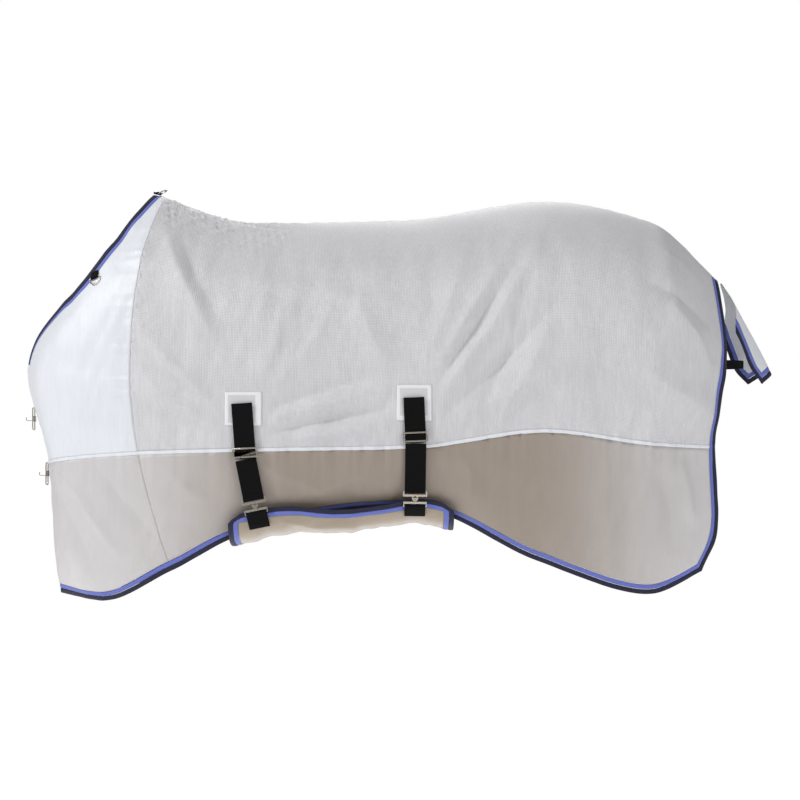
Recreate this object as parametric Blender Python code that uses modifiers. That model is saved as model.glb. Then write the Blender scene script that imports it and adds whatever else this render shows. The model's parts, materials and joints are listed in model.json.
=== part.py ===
"""Fly sheet for a horse: mesh body, smooth shoulders and skirts, belly band, tail flap and its hardware.

The sheet hangs as it does on a standing horse, head towards -X and the horse's near side towards -Y.
The origin is the front end of the back seam, over the withers.
"""

import math

import bmesh
import bpy
import numpy as np
from mathutils import Matrix, Vector

# Overall sizes of the sheet on the horse (metres)
BODY_LENGTH = 1.79
BODY_WIDTH = 0.63
BODY_DEPTH = 1.024

# Cloth
CLOTH = 0.0012
SEAM_GAP = 0.0010
BAND_GAP = 0.0030
FLAP_GAP = 0.0020
BINDING_WIDTH = 0.012
TRIM_WIDTH = 0.012
TAPE_WIDTH = 0.008
SPINE_TAPE_WIDTH = 0.024
FLEECE_THICKNESS = 0.008
FLEECE_GAP = 0.0022

# Belly band: its length along the horse, its rounded corners and how far it stands off the hem
BAND_LENGTH = 0.547
BAND_CORNER = 0.055
BAND_CLEARANCE = 0.013

# Webbing and metal fittings
WEBBING = 0.050
WEBBING_THICK = 0.0018
WEBBING_PLAY = 0.0016
RING_WEBBING = 0.020
RING_TAB_LENGTH = 0.018
WITHERS_TAB_LENGTH = 0.015
WITHERS_RING_AT = 0.72
WITHERS_RING_TILT = math.radians(38)
TAIL_STRAP_WIDTH = 0.020
TAIL_STRAP_HEIGHT = -0.437
TAIL_STRAP_LIFT = 0.005
TAIL_STRAP_V = 0.262
STRAP_TOP_LIFT = 0.0092
PATCH_SIZE = 0.082
PATCH_LIFT = 0.0026
PATCH_RISE = 0.026
STRAP_END = 0.002
STRAP_GAP = 0.003
FIT_GAP = 0.0004
WIRE = 0.0016
RING_INNER = 0.025
RING_DROP = 0.006
WIRE_CORNER = 0.0015
SLIDER_HEIGHT = 0.024
SLIDER_MARGIN = 0.005
SLIDER_THICK = 0.003
SLIDER_BAR = 0.0036
PLATE = 0.0026
PLATE_BAR = 0.0050
STRAP_BAR = 0.0030
PLATE_MARGIN = 0.004
HOOK_MARGIN = 0.003
PLATE_GAP = 0.006
EYE_RADIUS = 0.0074
HOLE_RADIUS = 0.0048
HEAD_GAP = 0.0008
NECK_THICK = 0.0018
NECK_WIDTH = 0.006
STUD_RADIUS = 0.0016
STUD_HEIGHT = 0.0015
HEAD_SIZE = (0.0116, 0.0018, 0.0034)
WELD = 0.0005

# Closures: half distance between the two bars, how far they stand off the band,
# and the tightest curve of the band that a tab of webbing bridges
BAR_OFFSET = 0.0175
CLOSURE_LIFT = 0.0078
BAND_CURVE = 0.0868
TAB_STEP = 0.005

# A horse of NOMINAL length, width and depth fills the cage below; other sizes scale it
NOMINAL = (1.79, 0.63, 1.024)
U_KNOTS = np.array([0.0, 0.09, 0.22, 0.36, 0.58, 0.755, 0.90, 1.0])
V_KNOTS = np.array([0.0, 0.24, 0.48, 0.66, 0.84, 1.0])
CAGE = np.array([
    # back seam, withers to dock
    [(0.000, 0.000, 0.000), (0.018, 0.000, -0.004), (0.032, 0.000, -0.010), (0.257, 0.000, -0.075),
     (0.640, 0.000, -0.068), (1.000, 0.000, -0.020), (1.270, 0.000, -0.072), (1.444, 0.000, -0.221)],
    # over the ribs
    [(-0.138, -0.165, -0.210), (-0.070, -0.200, -0.203), (-0.003, -0.222, -0.190), (0.250, -0.245, -0.240),
     (0.670, -0.250, -0.225), (1.000, -0.250, -0.170), (1.280, -0.215, -0.215), (1.447, -0.125, -0.415)],
    # widest part
    [(-0.323, -0.012, -0.440), (-0.250, -0.170, -0.450), (-0.024, -0.262, -0.470), (0.245, -0.305, -0.500),
     (0.660, -0.315, -0.490), (1.000, -0.305, -0.440), (1.290, -0.270, -0.470), (1.425, -0.155, -0.560)],
    # seam between body and skirt
    [(-0.270, -0.012, -0.686), (-0.215, -0.170, -0.675), (-0.005, -0.255, -0.656), (0.256, -0.305, -0.647),
     (0.663, -0.315, -0.639), (0.977, -0.305, -0.601), (1.241, -0.270, -0.633), (1.412, -0.160, -0.644)],
    # skirt
    [(-0.254, -0.014, -0.900), (-0.170, -0.165, -0.900), (0.038, -0.245, -0.830), (0.262, -0.286, -0.775),
     (0.664, -0.293, -0.735), (0.975, -0.297, -0.810), (1.240, -0.268, -0.860), (1.416, -0.165, -0.849)],
    # hem
    [(-0.240, -0.016, -1.020), (-0.112, -0.160, -1.024), (0.073, -0.235, -0.943), (0.262, -0.248, -0.850),
     (0.664, -0.254, -0.792), (0.967, -0.285, -0.917), (1.231, -0.260, -0.997), (1.373, -0.190, -0.948)],
])
U_SHOULDER_SEAM = 0.22
V_WITHERS = 0.12
V_NECK_CORNER = 0.48
V_SKIRT_SEAM = 0.66
HEM_ARCH = 0.020
HEM_ARCH_START = 0.35
HEM_ARCH_END = 0.61

# Tail flap cage for the same nominal horse: centre, shoulder and side edge, root to tip
FLAP_CAGE = np.array([
    [(1.453, 0.000, -0.228), (1.491, 0.000, -0.303), (1.537, 0.000, -0.388), (1.575, 0.000, -0.458)],
    [(1.478, -0.060, -0.290), (1.499, -0.064, -0.332), (1.536, -0.064, -0.403), (1.570, -0.060, -0.466)],
    [(1.474, -0.102, -0.356), (1.489, -0.107, -0.390), (1.511, -0.107, -0.448), (1.542, -0.090, -0.487)],
])
FLAP_U = np.array([0.0, 0.33, 0.70, 1.0])
FLAP_V = np.array([0.0, 0.55, 1.0])

# Belly band edge and bottom heights along the nominal horse
BAND_X = np.array([0.215, 0.35, 0.48, 0.60, 0.68, 0.762])
BAND_EDGE_Z = np.array([-0.791, -0.769, -0.779, -0.767, -0.752, -0.767])
BAND_BOTTOM_Z = np.array([-0.892, -0.862, -0.857, -0.842, -0.836, -0.852])
BAND_SQUARENESS = 3.4

# Straps on the near side: top of the strap, slider and closure, on the nominal horse (x, z)
STRAPS = {
    "front": {"top": (0.252, -0.535), "slider": (0.260, -0.652), "closure": (0.283, -0.781)},
    "rear": {"top": (0.663, -0.521), "slider": (0.667, -0.614), "closure": (0.666, -0.764)},
}
STRAP_TABS = {"front": 0.034, "rear": 0.026}
CHEST_CLOSURES = {"upper": 0.580, "lower": 0.684}
CHEST_STRAP_REACH = 0.055
CHEST_BUCKLE_HEIGHT = 0.056
CHEST_BUCKLE_WIDTH = 0.026
CHEST_HINGE = (-0.0125, -0.006)
CHEST_STRAP_LIFT = 0.0022
CHEST_TAB_GAP = 0.008
TONGUE_LENGTH = 0.022
TONGUE_HEIGHT = 0.010
TONGUE_WIRE = 0.0012
TONGUE_CORNER = 0.0022
COLLAR_WALL = 0.0016
COLLAR_MARGIN = 0.002

# Rings: how far round the sheet they sit, and how far inside its edge
NECK_RING = (0.262, 0.030)
LEG_RING = (0.745, 0.036)

INSET_STEPS = 2

COLOURS = {
    "mesh": (0.62, 0.62, 0.64),
    "smooth_cloth": (0.76, 0.77, 0.80),
    "navy": (0.008, 0.008, 0.045),
    "royal": (0.130, 0.165, 0.560),
    "band_cloth": (0.62, 0.55, 0.46),
    "fleece": (0.80, 0.79, 0.77),
    "black_webbing": (0.006, 0.006, 0.007),
    "nickel": (0.62, 0.58, 0.52),
}
METALLIC = {"nickel": 1.0}
ROUGHNESS = {"nickel": 0.3, "navy": 0.8, "royal": 0.8, "black_webbing": 0.75}

for old in list(bpy.data.objects):
    bpy.data.objects.remove(old)
PARTS = bpy.data.collections.new("fly_sheet")
CUTTERS = bpy.data.collections.new("cutters")
for made in (PARTS, CUTTERS):
    bpy.context.scene.collection.children.link(made)


def finish_object(item, kind):
    """Put an object in the parts collection with the material of its kind."""
    name = kind + "_" + item.name
    material = bpy.data.materials.new(name)
    material.use_nodes = True
    shader = material.node_tree.nodes["Principled BSDF"]
    shader.inputs["Base Color"].default_value = (*COLOURS[kind], 1.0)
    shader.inputs["Roughness"].default_value = ROUGHNESS.get(kind, 0.85)
    shader.inputs["Metallic"].default_value = METALLIC.get(kind, 0.0)
    item.data.materials.clear()
    item.data.materials.append(material)
    for held in list(item.users_collection):
        held.objects.unlink(item)
    PARTS.objects.link(item)
    return item


# ---------------------------------------------------------------- surfaces

def scaled(point):
    """A point of the nominal horse at this sheet's size."""
    size = (BODY_LENGTH, BODY_WIDTH, BODY_DEPTH)
    return np.array([p * s / n for p, s, n in zip(point, size, NOMINAL)])


def hermite(knots, values, slopes, t):
    """Smooth curve through values at uneven knots; values and slopes are indexed by knot first."""
    i = int(np.clip(np.searchsorted(knots, t) - 1, 0, len(knots) - 2))
    h = knots[i + 1] - knots[i]
    q = (t - knots[i]) / h
    return (
        values[i] * (2 * q**3 - 3 * q**2 + 1)
        + slopes[i] * h * (q**3 - 2 * q**2 + q)
        + values[i + 1] * (3 * q**2 - 2 * q**3)
        + slopes[i + 1] * h * (q**3 - q**2)
    )


def steady_slopes(knots, values):
    """Slopes at the knots that never let a curve swing past its points."""
    steps = np.diff(knots)[:, None, None]
    rises = np.diff(values, axis=0) / steps
    before, after = rises[:-1], rises[1:]
    weight_before = 2 * steps[1:] + steps[:-1]
    weight_after = steps[1:] + 2 * steps[:-1]
    same = before * after > 1e-12
    safe_before, safe_after = np.where(same, before, 1.0), np.where(same, after, 1.0)
    mean = (weight_before + weight_after) / (weight_before / safe_before + weight_after / safe_after)
    return np.concatenate([rises[:1], np.where(same, mean, 0.0), rises[-1:]])


class Cloth:
    """A surface through a cage of points; v below 0 is the mirrored side."""

    def __init__(self, cage, u_knots, v_knots):
        size = np.array([BODY_LENGTH, BODY_WIDTH, BODY_DEPTH]) / np.array(NOMINAL)
        self.u_knots, self.v_knots = u_knots, v_knots
        self.columns = np.swapaxes(cage * size, 0, 1)
        self.slopes = steady_slopes(u_knots, self.columns)

    def __call__(self, u, v):
        rows = hermite(self.u_knots, self.columns, self.slopes, u)
        slopes = np.gradient(rows, self.v_knots, axis=0)
        slopes[0] = (0.0, rows[1][1] / self.v_knots[1], 0.0)
        point = hermite(self.v_knots, rows, slopes, abs(v))
        if v < 0:
            point = point * np.array([1.0, -1.0, 1.0])
        return point


def slopes_at(surface, u, v):
    """The two tangent vectors of a surface."""
    step = 1e-4
    along = (surface(u + step, v) - surface(u - step, v)) / (2 * step)
    across = (surface(u, v + step) - surface(u, v - step)) / (2 * step)
    return along, across


def normal_at(surface, u, v):
    """Unit normal, pointing out of the horse."""
    along, across = slopes_at(surface, u, v)
    normal = np.cross(across, along)
    return normal / np.linalg.norm(normal)


def inset_u(surface, u_edge, width):
    """The line a given width inside the edge u = u_edge, as a function of v."""
    def line(v):
        u = u_edge
        for _ in range(INSET_STEPS):
            along, across = slopes_at(surface, u, v)
            step = np.linalg.norm(across) / np.linalg.norm(np.cross(along, across))
            u += width / INSET_STEPS * step
        return u
    return line


def inset_v(surface, v_edge, width):
    """The line a given width inside the edge line v_edge(u), as a function of u."""
    def line(u):
        v = v_edge(u)
        for _ in range(INSET_STEPS):
            along, across = slopes_at(surface, u, v)
            step = np.linalg.norm(along) / np.linalg.norm(np.cross(along, across))
            v += width / INSET_STEPS * step
        return v
    return line


def constant(value):
    """A line of one value."""
    return lambda _: value


def between(first, last, count):
    """Lines evenly spaced from first to last, both included."""
    def blend(share):
        return lambda t: first(t) * (1 - share) + last(t) * share
    return [blend(k / count) for k in range(count + 1)]


def tile(name, surface, u_lines, v_lines, kind, keep=None, lift=0.0, thick=CLOTH, outward=1, mirror=False):
    """A piece of cloth between lines of a surface, thickened away from it."""
    columns, rows = len(u_lines), len(v_lines)
    bm = bmesh.new()
    corners = {}

    def corner(i, j):
        if (i, j) not in corners:
            u, v = 0.5, 0.5
            for _ in range(8):
                u = u_lines[i](v)
                v = v_lines[j](u)
            point = surface(u, v) + normal_at(surface, u, v) * lift
            if mirror:
                point[1] = -point[1]
            corners[i, j] = bm.verts.new(point)
        return corners[i, j]

    for i in range(columns - 1):
        for j in range(rows - 1):
            if keep is None or keep(i, j):
                loop = [corner(i, j), corner(i, j + 1), corner(i + 1, j + 1), corner(i + 1, j)]
                bm.faces.new(loop if mirror == (outward < 0) else loop[::-1])
    mesh = bpy.data.meshes.new(name)
    bm.to_mesh(mesh)
    bm.free()
    item = bpy.data.objects.new(name, mesh)
    shell = item.modifiers.new("thickness", "SOLIDIFY")
    shell.thickness = thick
    shell.offset = 1.0
    return finish_object(item, kind)


# ---------------------------------------------------------------- webbing, wire and plates

def frame(origin, out, up):
    """Axes of a fitting: X across it, Y away from the cloth, Z up its strap."""
    up = Vector(up).normalized()
    across = Vector(out).cross(up).normalized()
    out = up.cross(across)
    matrix = Matrix((across, out, up)).transposed().to_4x4()
    matrix.translation = Vector(origin)
    return matrix


def ribbon(name, placed, path, width, thick, kind="black_webbing"):
    """Webbing along a path of (out, up) points, the path being its middle layer."""
    bm = bmesh.new()
    ends = [bm.verts.new((-width / 2, out, up)) for out, up in path]
    edges = [bm.edges.new(pair) for pair in zip(ends, ends[1:])]
    swept = bmesh.ops.extrude_edge_only(bm, edges=edges)
    moved = [v for v in swept["geom"] if isinstance(v, bmesh.types.BMVert)]
    bmesh.ops.translate(bm, verts=moved, vec=(width, 0, 0))
    mesh = bpy.data.meshes.new(name)
    bm.to_mesh(mesh)
    bm.free()
    item = bpy.data.objects.new(name, mesh)
    item.matrix_world = placed
    shell = item.modifiers.new("thickness", "SOLIDIFY")
    shell.thickness = thick
    shell.offset = 0.0
    shell.use_even_offset = True
    return finish_object(item, kind)


def folded(bar_radius, run):
    """Middle line of webbing folded round a bar at the origin, both layers going up along run."""
    radius = bar_radius + FIT_GAP + WEBBING_THICK / 2
    turn = [math.radians(180 + 205 * k / 8) for k in range(9)]
    arc = [(radius * math.cos(t), radius * math.sin(t)) for t in turn]
    step = WEBBING_THICK + FIT_GAP
    front = [(out + step, up) for out, up in run]
    return run[::-1] + arc + front


def straight_run(bar_radius, length):
    """Back layer of a folded strap that goes straight up from its bar."""
    radius = bar_radius + FIT_GAP + WEBBING_THICK / 2
    return [(-radius, 3.2 * radius), (-radius, length)]


def wire(name, placed, points, radius, closed, kind="nickel"):
    """Bent wire through points in its own frame."""
    curve = bpy.data.curves.new(name, "CURVE")
    curve.dimensions = "3D"
    spline = curve.splines.new("POLY")
    spline.points.add(len(points) - 1)
    for knot, point in zip(spline.points, points):
        knot.co = (*point, 1.0)
    spline.use_cyclic_u = closed
    curve.bevel_depth = radius
    curve.bevel_resolution = 2
    curve.use_fill_caps = True
    item = bpy.data.objects.new(name, curve)
    item.matrix_world = placed
    return finish_object(item, kind)


def block(size, centre):
    """A box as a bare object in the frame of its fitting."""
    mesh = bpy.data.meshes.new("block")
    bm = bmesh.new()
    bmesh.ops.create_cube(bm, size=1.0)
    bmesh.ops.scale(bm, verts=bm.verts, vec=size)
    bmesh.ops.translate(bm, verts=bm.verts, vec=centre)
    bm.to_mesh(mesh)
    bm.free()
    return bpy.data.objects.new("block", mesh)


def disc(radius, thick, centre, sides=24):
    """A round plate or pin whose axis is the fitting's out direction."""
    mesh = bpy.data.meshes.new("disc")
    bm = bmesh.new()
    bmesh.ops.create_cone(bm, cap_ends=True, segments=sides, radius1=radius, radius2=radius, depth=thick)
    bmesh.ops.rotate(bm, verts=bm.verts, matrix=Matrix.Rotation(math.pi / 2, 3, "X"))
    bmesh.ops.translate(bm, verts=bm.verts, vec=centre)
    bm.to_mesh(mesh)
    bm.free()
    return bpy.data.objects.new("disc", mesh)


def fitting(name, placed, solid, steps, kind="nickel"):
    """One fitting: a first solid, then what is joined to it or cut from it, in order."""
    solid.name = name
    for operation, operand in steps:
        CUTTERS.objects.link(operand)
        operand.matrix_world = placed
        operand.hide_render = True
        operand.display_type = "WIRE"
        step = solid.modifiers.new(operation.lower(), "BOOLEAN")
        step.operation = operation
        step.object = operand
    solid.matrix_world = placed
    return finish_object(solid, kind)


def ring_shape():
    """Closed outline of a D-ring hanging from its straight bar at the origin."""
    radius = RING_INNER / 2 + WIRE
    turn = [math.radians(-180 * k / 14) for k in range(15)]
    arc = [(radius * math.cos(t), 0.0, radius * math.sin(t) - RING_DROP) for t in turn]
    bar = [(WIRE_CORNER - radius, 0.0, 0.0), (radius - WIRE_CORNER, 0.0, 0.0), (radius, 0.0, -WIRE_CORNER)]
    return bar + arc + [(-radius, 0.0, -WIRE_CORNER)]


def ring_and_tab(name, placed, tab_length, stands=0.0):
    """A D-ring in a folded webbing tab; it stands away from the cloth by an angle."""
    ribbon(name + "_tab", placed, folded(WIRE, straight_run(WIRE, tab_length)), RING_WEBBING, WEBBING_THICK)
    turned = placed @ Matrix.Rotation(stands, 4, "X")
    wire(name, turned, ring_shape(), WIRE, closed=True)


# ---------------------------------------------------------------- the sheet

SHEET = Cloth(CAGE, U_KNOTS, V_KNOTS)
FLAP = Cloth(FLAP_CAGE, FLAP_U, FLAP_V)
HALF_GAP = SEAM_GAP / 2


def hem_line(u):
    """The hem, cut away in a shallow arch where the belly band covers it."""
    share = (u - HEM_ARCH_START) / (HEM_ARCH_END - HEM_ARCH_START)
    if not 0 < share < 1:
        return 1.0
    return 1.0 - HEM_ARCH * 4 * share * (1 - share)


def spine_line(width):
    """Distance from the back seam, as a function of u."""
    return inset_v(SHEET, constant(0.0), width)


def above(line, width):
    """A line a little above another on the sheet."""
    return inset_v(SHEET, line, -width)


def below(line, width):
    """A line a little below another on the sheet."""
    return inset_v(SHEET, line, width)


CORNER_GAP = 0.0012
NECK_END = V_NECK_CORNER - 2 * CORNER_GAP
NECK_CUT = V_NECK_CORNER - CORNER_GAP
TRIMMED = BINDING_WIDTH + TRIM_WIDTH
SEAM = constant(U_SHOULDER_SEAM)
SEAM_FRONT = inset_u(SHEET, U_SHOULDER_SEAM, -HALF_GAP)
SEAM_BACK = inset_u(SHEET, U_SHOULDER_SEAM, HALF_GAP)
REAR_TRIM_IN = inset_u(SHEET, 1.0, -TRIMMED + HALF_GAP)
REAR_TRIM_OUT = inset_u(SHEET, 1.0, -BINDING_WIDTH - HALF_GAP)
REAR_BINDING = inset_u(SHEET, 1.0, -BINDING_WIDTH + HALF_GAP)
SPINE = spine_line(SPINE_TAPE_WIDTH / 2 + SEAM_GAP)
TAPE_TOP = above(constant(V_SKIRT_SEAM), TAPE_WIDTH / 2)
TAPE_BOTTOM = below(constant(V_SKIRT_SEAM), TAPE_WIDTH / 2)
UPPER_ROWS = between(SPINE, constant(V_WITHERS), 3)[:-1] + between(
    constant(V_WITHERS), constant(V_NECK_CORNER), 5
)
BODY_END = inset_u(SHEET, 1.0, -BINDING_WIDTH - TRIM_WIDTH - HALF_GAP)
LOWER_ROWS = between(constant(V_NECK_CORNER), above(constant(V_SKIRT_SEAM), TAPE_WIDTH / 2 + HALF_GAP), 3)
HEM_TRIM_TOP = above(hem_line, TRIMMED - HALF_GAP)
HEM_BINDING_TOP = above(hem_line, BINDING_WIDTH - HALF_GAP)
HEM_TRIM_BOTTOM = above(hem_line, BINDING_WIDTH + HALF_GAP)
SKIRT_ROWS = between(
    below(constant(V_SKIRT_SEAM), TAPE_WIDTH / 2 + HALF_GAP), above(hem_line, TRIMMED + HALF_GAP), 4
)
SHOULDER_COLUMNS = 4
BODY_COLUMNS = 17


def neck_inset(width):
    """A line a width inside the neck edge, and on the chest edge below the neck corner."""
    inside = inset_u(SHEET, 0.0, width)
    return lambda v: inside(v) if v < NECK_CUT + CORNER_GAP / 3 else 0.0


def chest_to_seam(first):
    """Columns of the shoulder cloth."""
    return between(first, SEAM_FRONT, SHOULDER_COLUMNS)


def seam_to_tail(last):
    """Columns behind the shoulder seam."""
    return between(SEAM_BACK, last, BODY_COLUMNS)


def make_side(side, mirror):
    """The cloth of one side of the sheet."""
    def cloth(name, u_lines, v_lines, kind, **more):
        return tile(side + "_" + name, SHEET, u_lines, v_lines, kind, mirror=mirror, **more)

    trimmed_neck = neck_inset(TRIMMED + HALF_GAP)
    cut_rows = UPPER_ROWS[:-1] + [constant(NECK_CUT), constant(V_NECK_CORNER)]
    cloth("shoulder_panel", chest_to_seam(trimmed_neck), cut_rows + LOWER_ROWS[1:], "smooth_cloth")
    cloth("body_panel", seam_to_tail(BODY_END), UPPER_ROWS + LOWER_ROWS[1:], "mesh")
    cloth("front_skirt", chest_to_seam(constant(0.0)), SKIRT_ROWS, "smooth_cloth")
    cloth("side_skirt", seam_to_tail(BODY_END), SKIRT_ROWS, "smooth_cloth")
    whole_row = chest_to_seam(constant(0.0))[:-1] + [SEAM] + seam_to_tail(BODY_END)[1:]
    cloth("seam_tape", whole_row, [TAPE_TOP, TAPE_BOTTOM], "smooth_cloth")
    neck_rows = UPPER_ROWS[:-1] + [constant(NECK_END)]
    cloth("neck_binding", [constant(0.0), inset_u(SHEET, 0.0, BINDING_WIDTH - HALF_GAP)], neck_rows, "navy")
    trim_columns = [
        inset_u(SHEET, 0.0, BINDING_WIDTH + HALF_GAP), inset_u(SHEET, 0.0, TRIMMED - HALF_GAP)
    ]
    cloth("neck_trim", trim_columns, neck_rows, "royal")

    side_rows = UPPER_ROWS[:-1] + LOWER_ROWS[:-1] + [constant(V_SKIRT_SEAM)] + SKIRT_ROWS[1:-1]
    edges = (
        ("hem_trim", "royal", [REAR_TRIM_IN, REAR_TRIM_OUT], [HEM_TRIM_TOP, HEM_TRIM_BOTTOM]),
        ("hem_binding", "navy", [REAR_BINDING, constant(1.0)], [HEM_BINDING_TOP, hem_line]),
    )
    for name, kind, last_columns, last_rows in edges:
        u_lines = chest_to_seam(constant(0.0))[:-1] + [SEAM] + seam_to_tail(BODY_END)[1:-1] + last_columns
        v_lines = side_rows + last_rows
        last_u, last_v = len(u_lines) - 2, len(v_lines) - 2
        cloth(name, u_lines, v_lines, kind, keep=lambda i, j, a=last_u, b=last_v: i == a or j == b)


def make_back():
    """Seam tape along the back and the fleece under the withers."""
    edge = spine_line(SPINE_TAPE_WIDTH / 2)
    rows = [lambda u: -edge(u), constant(0.0), edge]
    columns = [constant(0.06), constant(0.14)] + seam_to_tail(BODY_END) + [constant(1.0)]
    tile("spine_tape", SHEET, columns, rows, "smooth_cloth")
    down = UPPER_ROWS[:4]
    fleece_rows = [lambda u, row=row: -row(u) for row in down[::-1]] + [constant(0.0)] + down
    fleece_columns = seam_to_tail(BODY_END)[:5]
    tile(
        "withers_fleece", SHEET, fleece_columns, fleece_rows, "fleece",
        lift=-FLEECE_GAP, thick=FLEECE_THICKNESS, outward=-1,
    )


def make_tail():
    """The tail flap with its two edgings, and the strap under it."""
    def flap_rows(width):
        near = inset_v(FLAP, constant(1.0), -width)
        return [lambda u: -near(u), near]

    def flap_end(width):
        return inset_u(FLAP, 1.0, -width)

    panel = TRIMMED + FLAP_GAP / 2
    low, high = flap_rows(panel)
    rows = between(low, high, 8)
    columns = between(constant(0.0), flap_end(panel), 5)
    tile("tail_flap", FLAP, columns, rows, "smooth_cloth")
    rings = (
        ("tail_flap_trim", "royal", BINDING_WIDTH + FLAP_GAP / 2, TRIMMED - FLAP_GAP / 2),
        ("tail_flap_binding", "navy", 0.0, BINDING_WIDTH - FLAP_GAP / 2),
    )
    for name, kind, outer, inner in rings:
        low_out, high_out = flap_rows(outer)
        low_in, high_in = flap_rows(inner)
        v_lines = [low_out, low_in] + between(low, high, 8)[1:-1] + [high_in, high_out]
        u_lines = columns[:-1] + [flap_end(inner), flap_end(outer)]
        last_u, last_v = len(u_lines) - 2, len(v_lines) - 2
        tile(name, FLAP, u_lines, v_lines, kind,
             keep=lambda i, j, a=last_u, b=last_v: i == a or j in (0, b))

    height = scaled((0, 0, TAIL_STRAP_HEIGHT))[2]
    inside = [
        SHEET(u, TAIL_STRAP_V) - normal_at(SHEET, u, TAIL_STRAP_V) * TAIL_STRAP_LIFT
        for u in (0.945, 0.972, 0.997)
    ]
    free = [scaled((x, y, 0)) for x, y in ((1.480, -0.088), (1.500, -0.056), (1.508, -0.020))]
    near = [(p[0], p[1]) for p in inside + free]
    path = near + [(x, -y) for x, y in near[::-1]]
    level = Matrix(((0, 1, 0, 0), (0, 0, 1, 0), (1, 0, 0, height), (0, 0, 0, 1)))
    ribbon("tail_strap", level, path, TAIL_STRAP_WIDTH, WEBBING_THICK)


# ---------------------------------------------------------------- the belly band

def locate(x, z):
    """Where the near side of the sheet passes a point seen from its side."""
    u, v = 0.5, 0.6
    for _ in range(30):
        along, across = slopes_at(SHEET, u, v)
        miss = np.array([x, z]) - SHEET(u, v)[[0, 2]]
        du, dv = np.linalg.solve(np.array([[along[0], across[0]], [along[2], across[2]]]), miss)
        u = float(np.clip(u + 0.7 * du, 0.02, 0.98))
        v = float(np.clip(v + 0.7 * dv, 0.02, 0.999))
    return u, v


BAND_FRONT = scaled((BAND_X[0], 0, 0))[0]
BAND_SCALE_Z = BODY_DEPTH / NOMINAL[2]


def side_width(x, z):
    """Half width of the sheet at a point of its near side (nominal x and z)."""
    place = scaled((x, 0, z))
    return -SHEET(*locate(place[0], place[2]))[1]


BAND_WIDTHS = [side_width(x, z) for x, z in ((0.283, -0.77), (0.48, -0.77), (0.666, -0.75))]
BAND_HALF = max(BAND_WIDTHS) + BAND_CLEARANCE
BAND_ROUND = BAND_CORNER / BAND_HALF
BAND_TURN = 0.6 * BAND_ROUND


def band(u, v):
    """Belly band surface: u along the horse, v from the near edge under the belly to the off edge."""
    turn = (2 * v - 1) * math.pi / 2
    share = max(0.0, (abs(2 * v - 1) - (1 - BAND_ROUND * 0.62)) / (BAND_ROUND * 0.62))
    corner = BAND_CORNER * share**2.4
    x = BAND_FRONT + corner + (BAND_LENGTH - 2 * corner) * u
    station = BAND_X[0] + (x - BAND_FRONT) / BAND_LENGTH * (BAND_X[-1] - BAND_X[0])
    top = hermite(BAND_X, BAND_EDGE_Z, np.gradient(BAND_EDGE_Z, BAND_X), station) * BAND_SCALE_Z
    low = hermite(BAND_X, BAND_BOTTOM_Z, np.gradient(BAND_BOTTOM_Z, BAND_X), station) * BAND_SCALE_Z
    power = 2 / BAND_SQUARENESS
    across = math.copysign(abs(math.sin(turn)) ** power, turn) * BAND_HALF
    return np.array([x, across, top - (top - low) * max(math.cos(turn), 0.0) ** power])


def make_band():
    """The belly band and its two edgings."""
    def ring(width):
        ends = [inset_u(band, 0.004, width), inset_u(band, 0.996, -width)]
        sides = [inset_v(band, constant(0.012), width), inset_v(band, constant(0.988), -width)]
        return ends, sides

    ends, sides = ring(TRIMMED + BAND_GAP / 2)
    columns = [ends[0]] + between(constant(0.16), constant(0.84), 6) + [ends[1]]

    def rows_between(first, last):
        near_turn, off_turn = constant(BAND_TURN), constant(1 - BAND_TURN)
        lines = between(first, near_turn, 3)[:-1] + between(near_turn, off_turn, 9)
        return lines + between(off_turn, last, 3)[1:]

    rows = rows_between(*sides)
    tile("belly_band", band, columns, rows, "band_cloth")
    rings = (
        ("belly_band_trim", "royal", BINDING_WIDTH + BAND_GAP / 2, TRIMMED - BAND_GAP / 2),
        ("belly_band_binding", "navy", 0.0, BINDING_WIDTH - BAND_GAP / 2),
    )
    for name, kind, outer, inner in rings:
        ends_out, sides_out = ring(outer)
        ends_in, sides_in = ring(inner)
        u_lines = [ends_out[0], ends_in[0]] + columns[1:-1] + [ends_in[1], ends_out[1]]
        v_lines = [sides_out[0]] + rows_between(*sides_in) + [sides_out[1]]
        last_u, last_v = len(u_lines) - 2, len(v_lines) - 2
        tile(name, band, u_lines, v_lines, kind,
             keep=lambda i, j, a=last_u, b=last_v: i in (0, a) or j in (0, b))


# ---------------------------------------------------------------- belly straps

def on_sheet(x, z, lift):
    """A point a lift outside the near side, and the outward direction there."""
    place = scaled((x, 0, z))
    u, v = locate(place[0], place[2])
    out = normal_at(SHEET, u, v)
    return SHEET(u, v) + out * lift, out


def make_slider(name, placed):
    """Slider: front frame before the webbing, middle bar behind it."""
    front = WEBBING_THICK / 2 + FIT_GAP + SLIDER_THICK / 2
    wide = WEBBING + 2 * SLIDER_MARGIN
    plate = block((wide, SLIDER_THICK, SLIDER_HEIGHT), (0, front, 0))
    window = (wide - 2 * SLIDER_BAR, 4 * SLIDER_THICK, SLIDER_HEIGHT - 2 * SLIDER_BAR)
    steps = [("DIFFERENCE", block(window, (0, front, 0)))]
    steps.append(("UNION", block((wide, SLIDER_THICK, SLIDER_BAR), (0, -front, 0))))
    post = SLIDER_BAR * 0.8
    for end in (-1, 1):
        size = (post, 2 * front + SLIDER_THICK, SLIDER_BAR)
        steps.append(("UNION", block(size, (end * (wide - post) / 2, 0, 0))))
    fitting(name, placed, plate, steps)


def upright(width, thick, bottom, top, out=0.0):
    """A box between two heights of its fitting."""
    return block((width, thick, top - bottom), (0, out, (top + bottom) / 2))


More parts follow.
